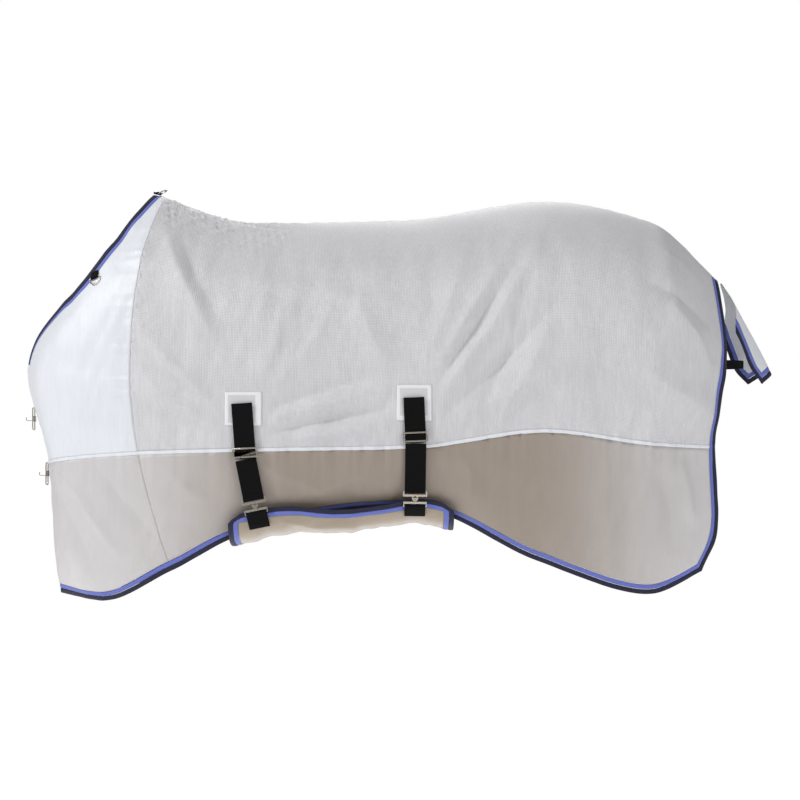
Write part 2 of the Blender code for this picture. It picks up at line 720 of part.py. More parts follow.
def make_keyhole_plate(name, placed):
    """Plate with a slot for the strap above and the hole for the hook below; origin on its top bar."""
    top = STRAP_BAR / 2
    bottom = PLATE_GAP - BAR_OFFSET
    plate = upright(WEBBING + 2 * PLATE_MARGIN, PLATE, bottom, top)
    slot = upright(WEBBING + WEBBING_PLAY, 4 * PLATE, bottom + PLATE_BAR, -STRAP_BAR / 2)
    eye_at = STUD_HEIGHT + WELD - BAR_OFFSET
    steps = [
        ("UNION", disc(EYE_RADIUS, PLATE, (0, 0, eye_at))),
        ("DIFFERENCE", slot),
        ("DIFFERENCE", disc(HOLE_RADIUS, 4 * PLATE, (0, 0, eye_at))),
    ]
    fitting(name, placed, plate, steps)


def make_hook(name, placed):
    """T-hook: a bar in the webbing tab, a neck behind the eye and a cross head before it."""
    high = BAR_OFFSET - PLATE_GAP - WELD
    plate = upright(WEBBING + 2 * HOOK_MARGIN, PLATE, -STRAP_BAR / 2, high)
    slot = upright(WEBBING + WEBBING_PLAY, 4 * PLATE, STRAP_BAR / 2, high - PLATE_BAR)
    neck_back = -(PLATE / 2 + HEAD_GAP + NECK_THICK)
    stud_at = BAR_OFFSET + STUD_HEIGHT
    neck_low = high - PLATE_BAR + WELD
    neck_high = stud_at + STUD_RADIUS + WELD
    neck = upright(NECK_WIDTH, NECK_THICK, neck_low, neck_high, neck_back + NECK_THICK / 2)
    riser_depth = PLATE / 2 - neck_back
    riser = upright(
        NECK_WIDTH - WELD / 2, riser_depth, neck_low + WELD, high - 2 * WELD, neck_back + riser_depth / 2
    )
    head_at = PLATE / 2 + HEAD_GAP
    stud_back, stud_front = neck_back + WELD, head_at + HEAD_SIZE[1] / 2
    stud = disc(STUD_RADIUS, stud_front - stud_back, (0, (stud_front + stud_back) / 2, stud_at), sides=12)
    head = block(HEAD_SIZE, (0, head_at + HEAD_SIZE[1] / 2, stud_at))
    joined = [("UNION", piece) for piece in (riser, neck, stud, head)]
    fitting(name, placed, plate, joined + [("DIFFERENCE", slot)])


def make_belly_strap(end):
    """One near-side belly strap: patch, webbing, slider, plate, hook and its tab on the band."""
    places = STRAPS[end]
    top, out = on_sheet(*places["top"], STRAP_TOP_LIFT)
    slide, _ = on_sheet(*places["slider"], STRAP_TOP_LIFT)
    upper = frame(slide, out, top - slide)
    length = float(np.linalg.norm(top - slide))
    tail = SLIDER_HEIGHT / 2 + STRAP_END
    strap = upright(WEBBING, WEBBING_THICK, -tail, length)
    fitting(end + "_strap_upper", upper, strap, [], "black_webbing")
    make_slider(end + "_slider", upper)

    patch_top = scaled((places["top"][0], 0, places["top"][1] + PATCH_RISE))
    u, v = locate(patch_top[0], patch_top[2])
    half = PATCH_SIZE / 2
    near_line = inset_u(SHEET, u, -half)
    far_line = inset_u(SHEET, u, half)
    rows = between(constant(v), below(constant(v), PATCH_SIZE), 4)
    columns = between(near_line, far_line, 3)
    tile(end + "_strap_patch", SHEET, columns, rows, "smooth_cloth", lift=PATCH_LIFT)

    low = scaled((places["closure"][0], 0, places["closure"][1]))
    low[1] = -(BAND_HALF + CLOTH + CLOSURE_LIFT)
    joint = np.array(upper @ Vector((0, 0, -tail - STRAP_GAP)))
    closure = frame(low, (0, -1, 0), joint - low)
    lower_bar = closure @ Matrix.Translation((0, 0, BAR_OFFSET))
    run_length = float(np.linalg.norm(joint - low)) - BAR_OFFSET
    bar_radius = math.hypot(PLATE, STRAP_BAR) / 2
    ribbon(
        end + "_strap_lower", lower_bar, folded(bar_radius, straight_run(bar_radius, run_length)),
        WEBBING, WEBBING_THICK,
    )
    make_keyhole_plate(end + "_keyhole_plate", lower_bar)
    hook_bar = closure @ Matrix.Translation((0, 0, -BAR_OFFSET))
    make_hook(end + "_hook", hook_bar)

    tab_frame = hook_bar @ Matrix.Rotation(math.pi, 4, "Y")
    run = straight_run(bar_radius, 0.0)[:1]
    to_local = tab_frame.inverted()
    share = (float(low[0]) - BAND_FRONT) / BAND_LENGTH
    bridge = WEBBING**2 / (8 * BAND_CURVE)
    tab_lift = CLOTH + bridge + WEBBING_THICK / 2
    v_band = 0.0
    while run[-1][1] < STRAP_TABS[end] and v_band < 0.4:
        v_band += 0.002
        point = band(share, v_band) + normal_at(band, share, v_band) * tab_lift
        local = to_local @ Vector(point)
        if local.z > run[-1][1] + TAB_STEP:
            run.append((local.y, local.z))
    ribbon(end + "_band_tab", tab_frame, folded(bar_radius, run), WEBBING, WEBBING_THICK)


# ---------------------------------------------------------------- chest closures

def chest(w, v):
    """Cloth round the chest, w below 0 being the near side."""
    point = SHEET(abs(w), v)
    return point * np.array([1.0, -1.0, 1.0]) if w > 0 else point


def make_chest_closure(name, v_centre):
    """A strap across the chest opening with its buckle frame and snap loop."""
    centre = constant(v_centre)
    rows = between(above(centre, WEBBING / 2), below(centre, WEBBING / 2), 2)
    webbing = (
        ("_chest_tab", -CHEST_STRAP_REACH, -CHEST_TAB_GAP),
        ("_chest_strap", 0.0, CHEST_STRAP_REACH),
    )
    for piece, first, last in webbing:
        columns = between(constant(first), constant(last), 4)
        lift = CHEST_STRAP_LIFT
        tile(name + piece, chest, columns, rows, "black_webbing", lift=lift, thick=WEBBING_THICK)

    face = SHEET(0.0, v_centre)
    placed = frame((face[0] + CHEST_HINGE[0], CHEST_HINGE[1], face[2]), (-1, 0, 0), (0, 0, 1))
    wide, half, corner = CHEST_BUCKLE_WIDTH, CHEST_BUCKLE_HEIGHT / 2, 2 * WIRE_CORNER
    outline = [
        (0, 0, half - corner), (0, 0, corner - half), (corner, 0, -half),
        (wide - corner, 0, -half), (wide, 0, corner - half), (wide, 0, half - corner),
        (wide - corner, 0, half), (corner, 0, half),
    ]
    wire(name + "_chest_buckle", placed, outline, WIRE, closed=True)

    pivot = placed @ Matrix.Translation((wide, 0, 0))
    sleeve = WIRE + FIT_GAP
    start, tall = sleeve + COLLAR_WALL / 2, TONGUE_HEIGHT / 2
    bend = TONGUE_LENGTH - TONGUE_CORNER
    loop = [
        (0, start, tall), (0, bend, tall), (0, TONGUE_LENGTH, tall - TONGUE_CORNER),
        (0, TONGUE_LENGTH, TONGUE_CORNER - tall), (0, bend, -tall), (0, start, -tall),
    ]
    prongs = as_mesh(wire("prong", pivot, loop, TONGUE_WIRE, closed=False))
    collar = tube(sleeve, COLLAR_WALL, TONGUE_HEIGHT + 2 * COLLAR_MARGIN)
    fitting(name + "_chest_snap", pivot, collar, [("UNION", prongs)])


def as_mesh(item):
    """A wire turned into a closed mesh that a union can take; the curve goes."""
    mesh = bpy.data.meshes.new_from_object(item.evaluated_get(bpy.context.evaluated_depsgraph_get()))
    bm = bmesh.new()
    bm.from_mesh(mesh)
    bmesh.ops.remove_doubles(bm, verts=bm.verts, dist=1e-6)
    bm.to_mesh(mesh)
    bm.free()
    bpy.data.objects.remove(item)
    return bpy.data.objects.new("prong", mesh)


def tube(inner, wall, height):
    """A short tube round the fitting's own Z axis."""
    outer, half = inner + wall, height / 2
    profile = [(outer, half), (outer, -half), (inner, -half), (inner, half)]
    bm = bmesh.new()
    points = [bm.verts.new((x, 0, z)) for x, z in profile]
    for pair in zip(points, points[1:] + points[:1]):
        bm.edges.new(pair)
    mesh = bpy.data.meshes.new("collar")
    bm.to_mesh(mesh)
    bm.free()
    item = bpy.data.objects.new("collar", mesh)
    turn = item.modifiers.new("turn", "SCREW")
    turn.angle = 2 * math.pi
    turn.steps = 20
    turn.render_steps = 20
    turn.use_merge_vertices = True
    turn.merge_threshold = 0.00005
    return item


# ---------------------------------------------------------------- rings

def make_rings():
    """Neck, withers and leg-strap rings with their tabs."""
    lift = WIRE + FIT_GAP + WEBBING_THICK + CLOTH + SEAM_GAP
    for side, sign in (("near", 1.0), ("off", -1.0)):
        flip = np.array([1.0, sign, 1.0])
        v, inset = NECK_RING
        u = inset_u(SHEET, 0.0, inset)(v)
        point, out = SHEET(u, v), normal_at(SHEET, u, v)
        hang = np.array([0.45, 0.0, -1.0])
        hang -= out * (hang @ out)
        placed = frame((point + out * lift) * flip, out * flip, -hang * flip)
        ring_and_tab(side + "_neck_ring", placed, RING_TAB_LENGTH)

        v, inset = LEG_RING
        u = inset_u(SHEET, 1.0, -inset)(v)
        point, out = SHEET(u, v), normal_at(SHEET, u, v)
        inward = -np.array([out[0], out[1], 0.0])
        inward /= np.linalg.norm(inward)
        placed = frame((point - out * lift) * flip, inward * flip, (0, 0, 1))
        ring_and_tab(side + "_leg_ring", placed, RING_TAB_LENGTH)

    slope = scaled((0.018, 0, -0.004))
    point = slope * WITHERS_RING_AT + np.array([0, 0, lift + FIT_GAP])
    placed = frame(point, (0, 0, 1), -slope)
    ring_and_tab("withers_ring", placed, WITHERS_TAB_LENGTH, stands=WITHERS_RING_TILT)


make_side("near", mirror=False)
make_side("off", mirror=True)
make_back()
make_tail()
make_band()
for strap_end in STRAPS:
    make_belly_strap(strap_end)
for closure_name, closure_v in CHEST_CLOSURES.items():
    make_chest_closure(closure_name, closure_v)
make_rings()
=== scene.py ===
"""Fly sheet for a horse: the looks of its mesh cloth, edging, webbing and nickel fittings."""

import json
import math

import bmesh
import bpy
import numpy as np
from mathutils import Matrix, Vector


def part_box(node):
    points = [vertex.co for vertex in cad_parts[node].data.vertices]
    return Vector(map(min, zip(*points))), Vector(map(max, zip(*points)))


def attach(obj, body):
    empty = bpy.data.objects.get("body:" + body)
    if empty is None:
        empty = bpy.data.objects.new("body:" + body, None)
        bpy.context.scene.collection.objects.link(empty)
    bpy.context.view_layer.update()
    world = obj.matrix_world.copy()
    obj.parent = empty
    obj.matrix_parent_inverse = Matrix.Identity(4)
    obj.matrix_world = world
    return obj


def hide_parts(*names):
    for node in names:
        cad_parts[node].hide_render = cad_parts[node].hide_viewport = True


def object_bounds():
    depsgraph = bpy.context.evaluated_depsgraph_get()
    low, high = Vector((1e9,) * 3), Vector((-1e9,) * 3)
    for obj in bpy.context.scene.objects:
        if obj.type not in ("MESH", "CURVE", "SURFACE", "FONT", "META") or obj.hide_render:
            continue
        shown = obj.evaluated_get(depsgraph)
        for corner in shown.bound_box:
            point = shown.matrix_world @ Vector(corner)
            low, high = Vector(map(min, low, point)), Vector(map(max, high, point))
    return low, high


bl_info = {
    "name": "Fly Sheet",
    "version": (1, 0, 0),
    "blender": (4, 5, 0),
    "location": "View3D > Sidebar > Fly Sheet",
    "description": "Dresses a horse's fly sheet: cloth with its folds, edging, webbing and metal",
    "category": "Object",
}

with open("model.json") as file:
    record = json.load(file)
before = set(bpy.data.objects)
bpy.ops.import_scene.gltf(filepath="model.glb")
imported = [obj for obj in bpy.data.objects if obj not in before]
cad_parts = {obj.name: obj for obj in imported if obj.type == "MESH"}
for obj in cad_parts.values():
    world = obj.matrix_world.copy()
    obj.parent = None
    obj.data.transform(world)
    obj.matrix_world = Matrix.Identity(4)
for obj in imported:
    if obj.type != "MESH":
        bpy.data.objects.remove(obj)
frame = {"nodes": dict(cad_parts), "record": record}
CAD_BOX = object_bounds()

# ---------------------------------------------------------------- the shape of the sheet (metres)

U_KNOTS = np.array([0.0, 0.09, 0.22, 0.36, 0.58, 0.755, 0.90, 1.0])
V_KNOTS = np.array([0.0, 0.24, 0.48, 0.66, 0.84, 1.0])
CAGE = np.array([
    # back seam, withers to dock
    [(0.000, 0.000, 0.000), (0.018, 0.000, -0.004), (0.032, 0.000, -0.010), (0.257, 0.000, -0.075),
     (0.640, 0.000, -0.068), (1.000, 0.000, -0.020), (1.270, 0.000, -0.072), (1.444, 0.000, -0.221)],
    # over the ribs
    [(-0.138, -0.165, -0.210), (-0.070, -0.200, -0.203), (-0.003, -0.222, -0.190), (0.250, -0.245, -0.240),
     (0.670, -0.250, -0.225), (1.000, -0.250, -0.170), (1.280, -0.215, -0.215), (1.447, -0.125, -0.415)],
    # widest part
    [(-0.323, -0.012, -0.440), (-0.250, -0.170, -0.450), (-0.024, -0.262, -0.470), (0.245, -0.305, -0.500),
     (0.660, -0.315, -0.490), (1.000, -0.305, -0.440), (1.290, -0.270, -0.470), (1.425, -0.155, -0.560)],
    # seam between body and skirt
    [(-0.270, -0.012, -0.686), (-0.215, -0.170, -0.675), (-0.005, -0.255, -0.656), (0.256, -0.305, -0.647),
     (0.663, -0.315, -0.639), (0.977, -0.305, -0.601), (1.241, -0.270, -0.633), (1.412, -0.160, -0.644)],
    # skirt
    [(-0.254, -0.014, -0.900), (-0.170, -0.165, -0.900), (0.038, -0.245, -0.830), (0.262, -0.286, -0.775),
     (0.664, -0.293, -0.735), (0.975, -0.297, -0.810), (1.240, -0.268, -0.860), (1.416, -0.165, -0.849)],
    # hem
    [(-0.240, -0.016, -1.020), (-0.112, -0.160, -1.024), (0.073, -0.235, -0.943), (0.262, -0.248, -0.850),
     (0.664, -0.254, -0.792), (0.967, -0.285, -0.917), (1.231, -0.260, -0.997), (1.373, -0.190, -0.948)],
])
FLAP_CAGE = np.array([
    [(1.453, 0.000, -0.228), (1.491, 0.000, -0.303), (1.537, 0.000, -0.388), (1.575, 0.000, -0.458)],
    [(1.478, -0.060, -0.290), (1.499, -0.064, -0.332), (1.536, -0.064, -0.403), (1.570, -0.060, -0.466)],
    [(1.474, -0.102, -0.356), (1.489, -0.107, -0.390), (1.511, -0.107, -0.448), (1.542, -0.090, -0.487)],
])
FLAP_U = np.array([0.0, 0.33, 0.70, 1.0])
FLAP_V = np.array([0.0, 0.55, 1.0])
BAND_X = np.array([0.215, 0.35, 0.48, 0.60, 0.68, 0.762])
BAND_EDGE_Z = np.array([-0.791, -0.769, -0.779, -0.767, -0.752, -0.767])
BAND_BOTTOM_Z = np.array([-0.892, -0.862, -0.857, -0.842, -0.836, -0.852])
BAND_LENGTH = 0.547
BAND_CORNER = 0.055
BAND_SQUARENESS = 3.4
BAND_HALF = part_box("belly_band_binding")[1].y - 0.0012
U_SHOULDER_SEAM = 0.22
V_WITHERS = 0.12
U_FLEECE_END = 0.36
V_NECK_CORNER = 0.48
V_SKIRT_SEAM = 0.66
HEM_ARCH = 0.020
HEM_ARCH_START = 0.35
HEM_ARCH_END = 0.61
SEAM_GAP = 0.0006
TAPE_WIDTH = 0.008
SPINE_TAPE_WIDTH = 0.024
PATCH_LIFT = 0.0026
NEAR, OFF = 1.0, -1.0


def hermite(knots, values, slopes, t):
    """Smooth curve through values at uneven knots, for many t at once."""
    i = np.clip(np.searchsorted(knots, t) - 1, 0, len(knots) - 2)
    h = (knots[i + 1] - knots[i]).reshape((-1,) + (1,) * (values.ndim - 1))
    q = (t - knots[i]).reshape(h.shape) / h
    return (
        values[i] * (2 * q**3 - 3 * q**2 + 1)
        + slopes[i] * h * (q**3 - 2 * q**2 + q)
        + values[i + 1] * (3 * q**2 - 2 * q**3)
        + slopes[i + 1] * h * (q**3 - q**2)
    )


def hermite_each(knots, values, slopes, t):
    """As hermite, where every t has its own row of values."""
    n = np.arange(len(t))
    i = np.clip(np.searchsorted(knots, t) - 1, 0, len(knots) - 2)
    h = (knots[i + 1] - knots[i])[:, None]
    q = (t - knots[i])[:, None] / h
    return (
        values[n, i] * (2 * q**3 - 3 * q**2 + 1)
        + slopes[n, i] * h * (q**3 - 2 * q**2 + q)
        + values[n, i + 1] * (3 * q**2 - 2 * q**3)
        + slopes[n, i + 1] * h * (q**3 - q**2)
    )


def steady_slopes(knots, values):
    """Slopes at the knots that never let a curve swing past its points."""
    steps = np.diff(knots)[:, None, None]
    rises = np.diff(values, axis=0) / steps
    before, after = rises[:-1], rises[1:]
    weight_before = 2 * steps[1:] + steps[:-1]
    weight_after = steps[1:] + 2 * steps[:-1]
    same = before * after > 1e-12
    safe_before, safe_after = np.where(same, before, 1.0), np.where(same, after, 1.0)
    mean = (weight_before + weight_after) / (weight_before / safe_before + weight_after / safe_after)
    return np.concatenate([rises[:1], np.where(same, mean, 0.0), rises[-1:]])


class Cloth:
    """A surface through a cage of points; v below 0 is the mirrored side."""

    def __init__(self, cage, u_knots, v_knots):
        self.u_knots, self.v_knots = u_knots, v_knots
        self.columns = np.swapaxes(cage, 0, 1)
        self.slopes = steady_slopes(u_knots, self.columns)

    def __call__(self, u, v):
        rows = hermite(self.u_knots, self.columns, self.slopes, u)
        slopes = np.gradient(rows, self.v_knots, axis=1)
        slopes[:, 0] = 0.0
        slopes[:, 0, 1] = rows[:, 1, 1] / self.v_knots[1]
        point = hermite_each(self.v_knots, rows, slopes, np.abs(v))
        point[:, 1] *= np.where(v < 0, -1.0, 1.0)
        return point


SHEET = Cloth(CAGE, U_KNOTS, V_KNOTS)
FLAP = Cloth(FLAP_CAGE, FLAP_U, FLAP_V)


def band(u, v):
    """Belly band surface: u along the horse, v from the near edge under the belly to the off edge."""
    turn = (2 * v - 1) * math.pi / 2
    wide = BAND_CORNER / BAND_HALF * 0.62
    share = np.maximum(0.0, (np.abs(2 * v - 1) - (1 - wide)) / wide)
    corner = BAND_CORNER * share**2.4
    x = BAND_X[0] + corner + (BAND_LENGTH - 2 * corner) * u
    top = hermite(BAND_X, BAND_EDGE_Z, np.gradient(BAND_EDGE_Z, BAND_X), x)
    low = hermite(BAND_X, BAND_BOTTOM_Z, np.gradient(BAND_BOTTOM_Z, BAND_X), x)
    power = 2 / BAND_SQUARENESS
    across = np.sign(turn) * np.abs(np.sin(turn)) ** power * BAND_HALF
    z = top - (top - low) * np.maximum(np.cos(turn), 0.0) ** power
    return np.stack([x, across, z], axis=1)


def slopes_at(surface, u, v):
    """The two tangent vectors of a surface."""
    step = 1e-4
    along = (surface(u + step, v) - surface(u - step, v)) / (2 * step)
    across = (surface(u, v + step) - surface(u, v - step)) / (2 * step)
    return along, across


def normal_at(surface, u, v):
    """Unit normals, pointing out of the horse."""
    along, across = slopes_at(surface, u, v)
    normal = np.cross(across, along)
    return normal / np.linalg.norm(normal, axis=1)[:, None]


def size_of(vectors):
    """Lengths of many vectors."""
    return np.linalg.norm(vectors, axis=1)


def inset_u_at(surface, edge, way, v, inset):
    """u at the given insets from the edge u = edge."""
    u = np.full_like(v, edge)
    for _ in range(2):
        along, across = slopes_at(surface, u, v)
        u = u + way * inset / 2 * size_of(across) / size_of(np.cross(along, across))
    return u


def inset_v_at(surface, edge, way, u, inset):
    """v at the given insets from the edge line v = edge(u)."""
    v = edge(u)
    for _ in range(2):
        along, across = slopes_at(surface, u, v)
        v = v + way * inset / 2 * size_of(along) / size_of(np.cross(along, across))
    return v


def inset_u(surface, u_edge, width):
    """The line a given width inside the edge u = u_edge, as a function of v."""
    return lambda v: inset_u_at(surface, u_edge, 1.0, v, width)


def inset_v(surface, v_edge, width):
    """The line a given width inside the edge line v_edge(u), as a function of u."""
    return lambda u: inset_v_at(surface, v_edge, 1.0, u, width)


def constant(value):
    """A line of one value."""
    return lambda t: np.full_like(t, value)


def hem_line(u):
    """The hem, cut away in a shallow arch where the belly band covers it."""
    share = np.clip((u - HEM_ARCH_START) / (HEM_ARCH_END - HEM_ARCH_START), 0, 1)
    return 1.0 - HEM_ARCH * 4 * share * (1 - share)


def locate(x, z):
    """Where the near side of the sheet passes points seen from its side."""
    u, v = np.full_like(x, 0.5), np.full_like(x, 0.6)
    for _ in range(30):
        along, across = slopes_at(SHEET, u, v)
        point = SHEET(u, v)
        miss_x, miss_z = x - point[:, 0], z - point[:, 2]
        area = along[:, 0] * across[:, 2] - across[:, 0] * along[:, 2]
        du = (miss_x * across[:, 2] - miss_z * across[:, 0]) / area
        dv = (along[:, 0] * miss_z - along[:, 2] * miss_x) / area
        u = np.clip(u + 0.7 * du, 0.02, 0.98)
        v = np.clip(v + 0.7 * dv, 0.02, 0.999)
    return u, v


# ---------------------------------------------------------------- folds of the cloth

# Each fold is a line of (x, z) points seen from the near side, its height out of the cloth and half width
FOLDS = [
    # from the withers down the shoulder
    ([(0.028, -0.055), (0.080, -0.192), (0.143, -0.305), (0.194, -0.409)], 0.013, 0.026),
    ([(0.075, -0.100), (0.140, -0.235), (0.195, -0.340)], -0.007, 0.022),
    # shoulder seam to the front strap
    ([(-0.018, -0.330), (0.080, -0.440), (0.190, -0.545)], 0.010, 0.020),
    ([(-0.022, -0.400), (0.080, -0.490), (0.190, -0.570)], -0.008, 0.018),
    ([(-0.018, -0.470), (0.090, -0.530), (0.195, -0.590)], 0.009, 0.018),
    ([(-0.012, -0.540), (0.090, -0.580), (0.190, -0.612)], -0.006, 0.016),
    # between the straps
    ([(0.290, -0.585), (0.450, -0.535), (0.620, -0.503)], 0.012, 0.018),
    ([(0.290, -0.555), (0.420, -0.515), (0.560, -0.470)], -0.008, 0.022),
    ([(0.290, -0.612), (0.460, -0.578), (0.625, -0.545)], -0.011, 0.014),
    ([(0.355, -0.626), (0.500, -0.600), (0.635, -0.580)], 0.010, 0.014),
    ([(0.290, -0.500), (0.330, -0.400), (0.350, -0.280)], 0.006, 0.020),
    ([(0.300, -0.520), (0.400, -0.420), (0.470, -0.300)], 0.005, 0.022),
    # rear strap up to the loin
    ([(0.640, -0.480), (0.560, -0.380), (0.520, -0.260)], 0.006, 0.022),
    ([(0.695, -0.491), (0.790, -0.332), (0.907, -0.137)], 0.014, 0.020),
    ([(0.670, -0.480), (0.735, -0.330), (0.800, -0.160)], 0.009, 0.020),
    ([(0.700, -0.520), (0.815, -0.345), (0.940, -0.150)], -0.010, 0.017),
    ([(0.705, -0.548), (0.847, -0.353), (0.980, -0.132)], 0.012, 0.018),
    ([(0.813, -0.580), (0.893, -0.409), (0.924, -0.286)], -0.008, 0.018),
    ([(0.720, -0.575), (0.880, -0.440), (1.040, -0.250)], -0.009, 0.018),
    ([(0.864, -0.585), (0.958, -0.418), (1.001, -0.325)], 0.009, 0.018),
    ([(0.705, -0.600), (0.860, -0.530), (1.060, -0.430)], 0.008, 0.020),
    # over the rump to the dock
    ([(1.286, -0.286), (1.350, -0.370), (1.401, -0.464)], 0.012, 0.024),
    ([(1.245, -0.130), (1.320, -0.180), (1.394, -0.240)], 0.009, 0.014),
    ([(1.220, -0.230), (1.310, -0.270), (1.400, -0.345)], -0.008, 0.020),
    ([(1.180, -0.430), (1.290, -0.500), (1.390, -0.560)], 0.006, 0.028),
    # skirts
    ([(1.310, -0.674), (1.335, -0.760), (1.346, -0.840)], 0.009, 0.018),
    ([(1.255, -0.680), (1.285, -0.790), (1.290, -0.900)], -0.006, 0.020),
    ([(1.030, -0.631), (0.985, -0.700), (0.940, -0.763)], 0.008, 0.020),
    ([(0.900, -0.640), (0.850, -0.720), (0.830, -0.800)], -0.006, 0.022),
    ([(1.130, -0.660), (1.120, -0.780), (1.140, -0.900)], 0.006, 0.026),
    ([(-0.205, -0.685), (-0.140, -0.790), (-0.050, -0.915)], 0.012, 0.020),
    ([(-0.225, -0.740), (-0.170, -0.850), (-0.120, -0.960)], -0.007, 0.018),
    ([(-0.110, -0.690), (-0.040, -0.780), (0.040, -0.870)], -0.008, 0.022),
    ([(0.300, -0.690), (0.440, -0.745), (0.600, -0.690)], 0.007, 0.020),
    ([(0.060, -0.690), (0.150, -0.770), (0.190, -0.830)], 0.007, 0.020),
    ([(0.760, -0.630), (0.800, -0.700), (0.790, -0.790)], 0.006, 0.020),
]
# Places that stay flat so that fittings lie on them: centre (x, z) and half size
CALM = [
    ((0.258, -0.560), (0.052, 0.080)), ((0.272, -0.700), (0.045, 0.120)), ((0.665, -0.530), (0.052, 0.070)),
    ((0.666, -0.680), (0.045, 0.120)), ((-0.120, -0.225), (0.045, 0.045)), ((0.490, -0.830), (0.340, 0.055)),
    ((1.380, -0.740), (0.030, 0.050)), ((0.020, -0.010), (0.040, 0.040)),
]


def smooth(t):
    """Eases from 0 to 1."""
    t = np.clip(t, 0.0, 1.0)
    return t * t * (3 - 2 * t)


def ridge(x, z, line, height, width):
    """A fold along a line of points, fading out at both ends."""
    best = np.full_like(x, 9.0)
    share = np.zeros_like(x)
    spans = [math.dist(a, b) for a, b in zip(line, line[1:])]
    passed = 0.0
    for (ax, az), (bx, bz), span in zip(line, line[1:], spans):
        t = ((x - ax) * (bx - ax) + (z - az) * (bz - az)) / span**2
        t = np.clip(t, 0.0, 1.0)
        away = np.hypot(x - ax - t * (bx - ax), z - az - t * (bz - az))
        nearer = away < best
        best = np.where(nearer, away, best)
        share = np.where(nearer, (passed + t * span) / sum(spans), share)
        passed += span
    crest = np.exp(-(best / width) ** 1.4)
    return height * crest * np.sin(np.pi * share) ** 0.7


def waves(x, z, seed, count, length, height, lean, spread):
    """Soft wrinkles: waves of about one length that run about one way."""
    random = np.random.default_rng(seed)
    total = np.zeros_like(x)
    for _ in range(count):
        way = lean + spread * random.normal()
        step = length * random.uniform(0.7, 1.4)
        turn = 2 * np.pi * (x * math.cos(way) + z * math.sin(way)) / step
        total += np.sin(turn + random.uniform(0, 2 * np.pi) + 1.5 * np.sin(turn * 0.37 + random.uniform(0, 6)))
    return height * total / math.sqrt(count)


def tape_height(x):
    """Height of the seam between body and skirt."""
    seam = CAGE[3]
    return np.interp(x, seam[:, 0], seam[:, 2])


def relief(point, side):
    """How far folds lift the sheet off its smooth shape at each point."""
    x, z = point[:, 0], point[:, 2]
    near = side > 0
    total = np.zeros_like(x)
    for k, (line, height, width) in enumerate(FOLDS):
        swing = 1.0 if near else 0.75 + 0.4 * math.sin(k * 2.3)
        total += ridge(x + (0.0 if near else 0.03 * math.sin(k)), z, line, height * swing, width)
    seed = 3 if near else 40
    total += waves(x, z, seed, 5, 0.130, 0.0016, 0.35, 0.5)
    total += waves(x, z, seed + 1, 6, 0.050, 0.0006, 0.15, 0.35)
    under = tape_height(x) - z
    pleats = waves(x, z * 0.15, seed + 2, 4, 0.027, 0.0016, 0.0, 0.10)
    total += pleats * np.exp(-np.maximum(under, 0) / 0.045) * smooth((under + 0.010) / 0.014)
    total += 0.6 * pleats * np.exp(-np.maximum(-under, 0) / 0.020) * (under < 0) * (x > 0.05)
    seam_x = np.interp(-z, [0.01, 0.19, 0.47, 0.656, 0.83, 0.943], [0.032, -0.003, -0.024, -0.005, 0.038, 0.073])
    ahead = seam_x - x
    gathers = waves(z, x * 0.2, seed + 5, 4, 0.026, 0.0014, 0.0, 0.12)
    total += gathers * np.exp(-np.maximum(ahead, 0) / 0.035) * (ahead > -0.005) * smooth((z + 0.60) / 0.1)
    for (cx, cz), (half_x, half_z) in CALM:
        off = np.maximum(np.abs(x - cx) / half_x, np.abs(z - cz) / half_z)
        total *= 0.12 + 0.88 * smooth((off - 0.85) / 0.6)
    on_top = smooth((-0.035 - (z - np.interp(x, CAGE[0][:, 0], CAGE[0][:, 2]))) / 0.09)
    total *= 0.15 + 0.85 * on_top
    fleecy = smooth((0.42 - x) / 0.12) * smooth((x - 0.02) / 0.03) * (1 - on_top)
    total += fleecy * waves(x, point[:, 1], seed + 7, 6, 0.016, 0.0022, 0.6, 1.4)
    edge = np.minimum(smooth((x + 0.26) / 0.06) + smooth((-0.50 - z) / 0.05), 1.0)
    return total * (0.25 + 0.75 * edge) * bpy.context.scene.fly_sheet_sizes.folds


def flap_relief(point, side):
    """The tail flap's own soft folds."""
    x, y = point[:, 0], point[:, 1]
    return waves(y, x, 71, 3, 0.090, 0.0016, 0.2, 0.4)


def band_relief(point, side):
    """Folds of the belly band, which hangs slack in the middle."""
    x, y, z = point.T
    total = waves(x, y * 0.3, 81, 4, 0.110, 0.0022, 0.1, 0.25) + waves(x, z, 83, 4, 0.045, 0.0007, 0.2, 0.5)
    total += ridge(x, z, [(0.300, -0.800), (0.420, -0.835), (0.560, -0.825)], 0.006, 0.012)
    total += ridge(x, z, [(0.340, -0.850), (0.480, -0.815), (0.620, -0.810)], -0.004, 0.012)
    return total * smooth((BAND_HALF - np.abs(y) + 0.08) / 0.1) * 0.9


# ---------------------------------------------------------------- cloth pieces

def new_grid(name, columns, rows):
    """A flat square of cloth, ready to be bent."""
    bm = bmesh.new()
    bm.loops.layers.uv.new("UVMap")
    bmesh.ops.create_grid(bm, x_segments=columns, y_segments=rows, size=0.5, calc_uvs=True)
    mesh = bpy.data.meshes.new(name)
    bm.to_mesh(mesh)
    bm.free()
    piece = bpy.data.objects.new(name, mesh)
    bpy.context.scene.collection.objects.link(piece)
    return piece


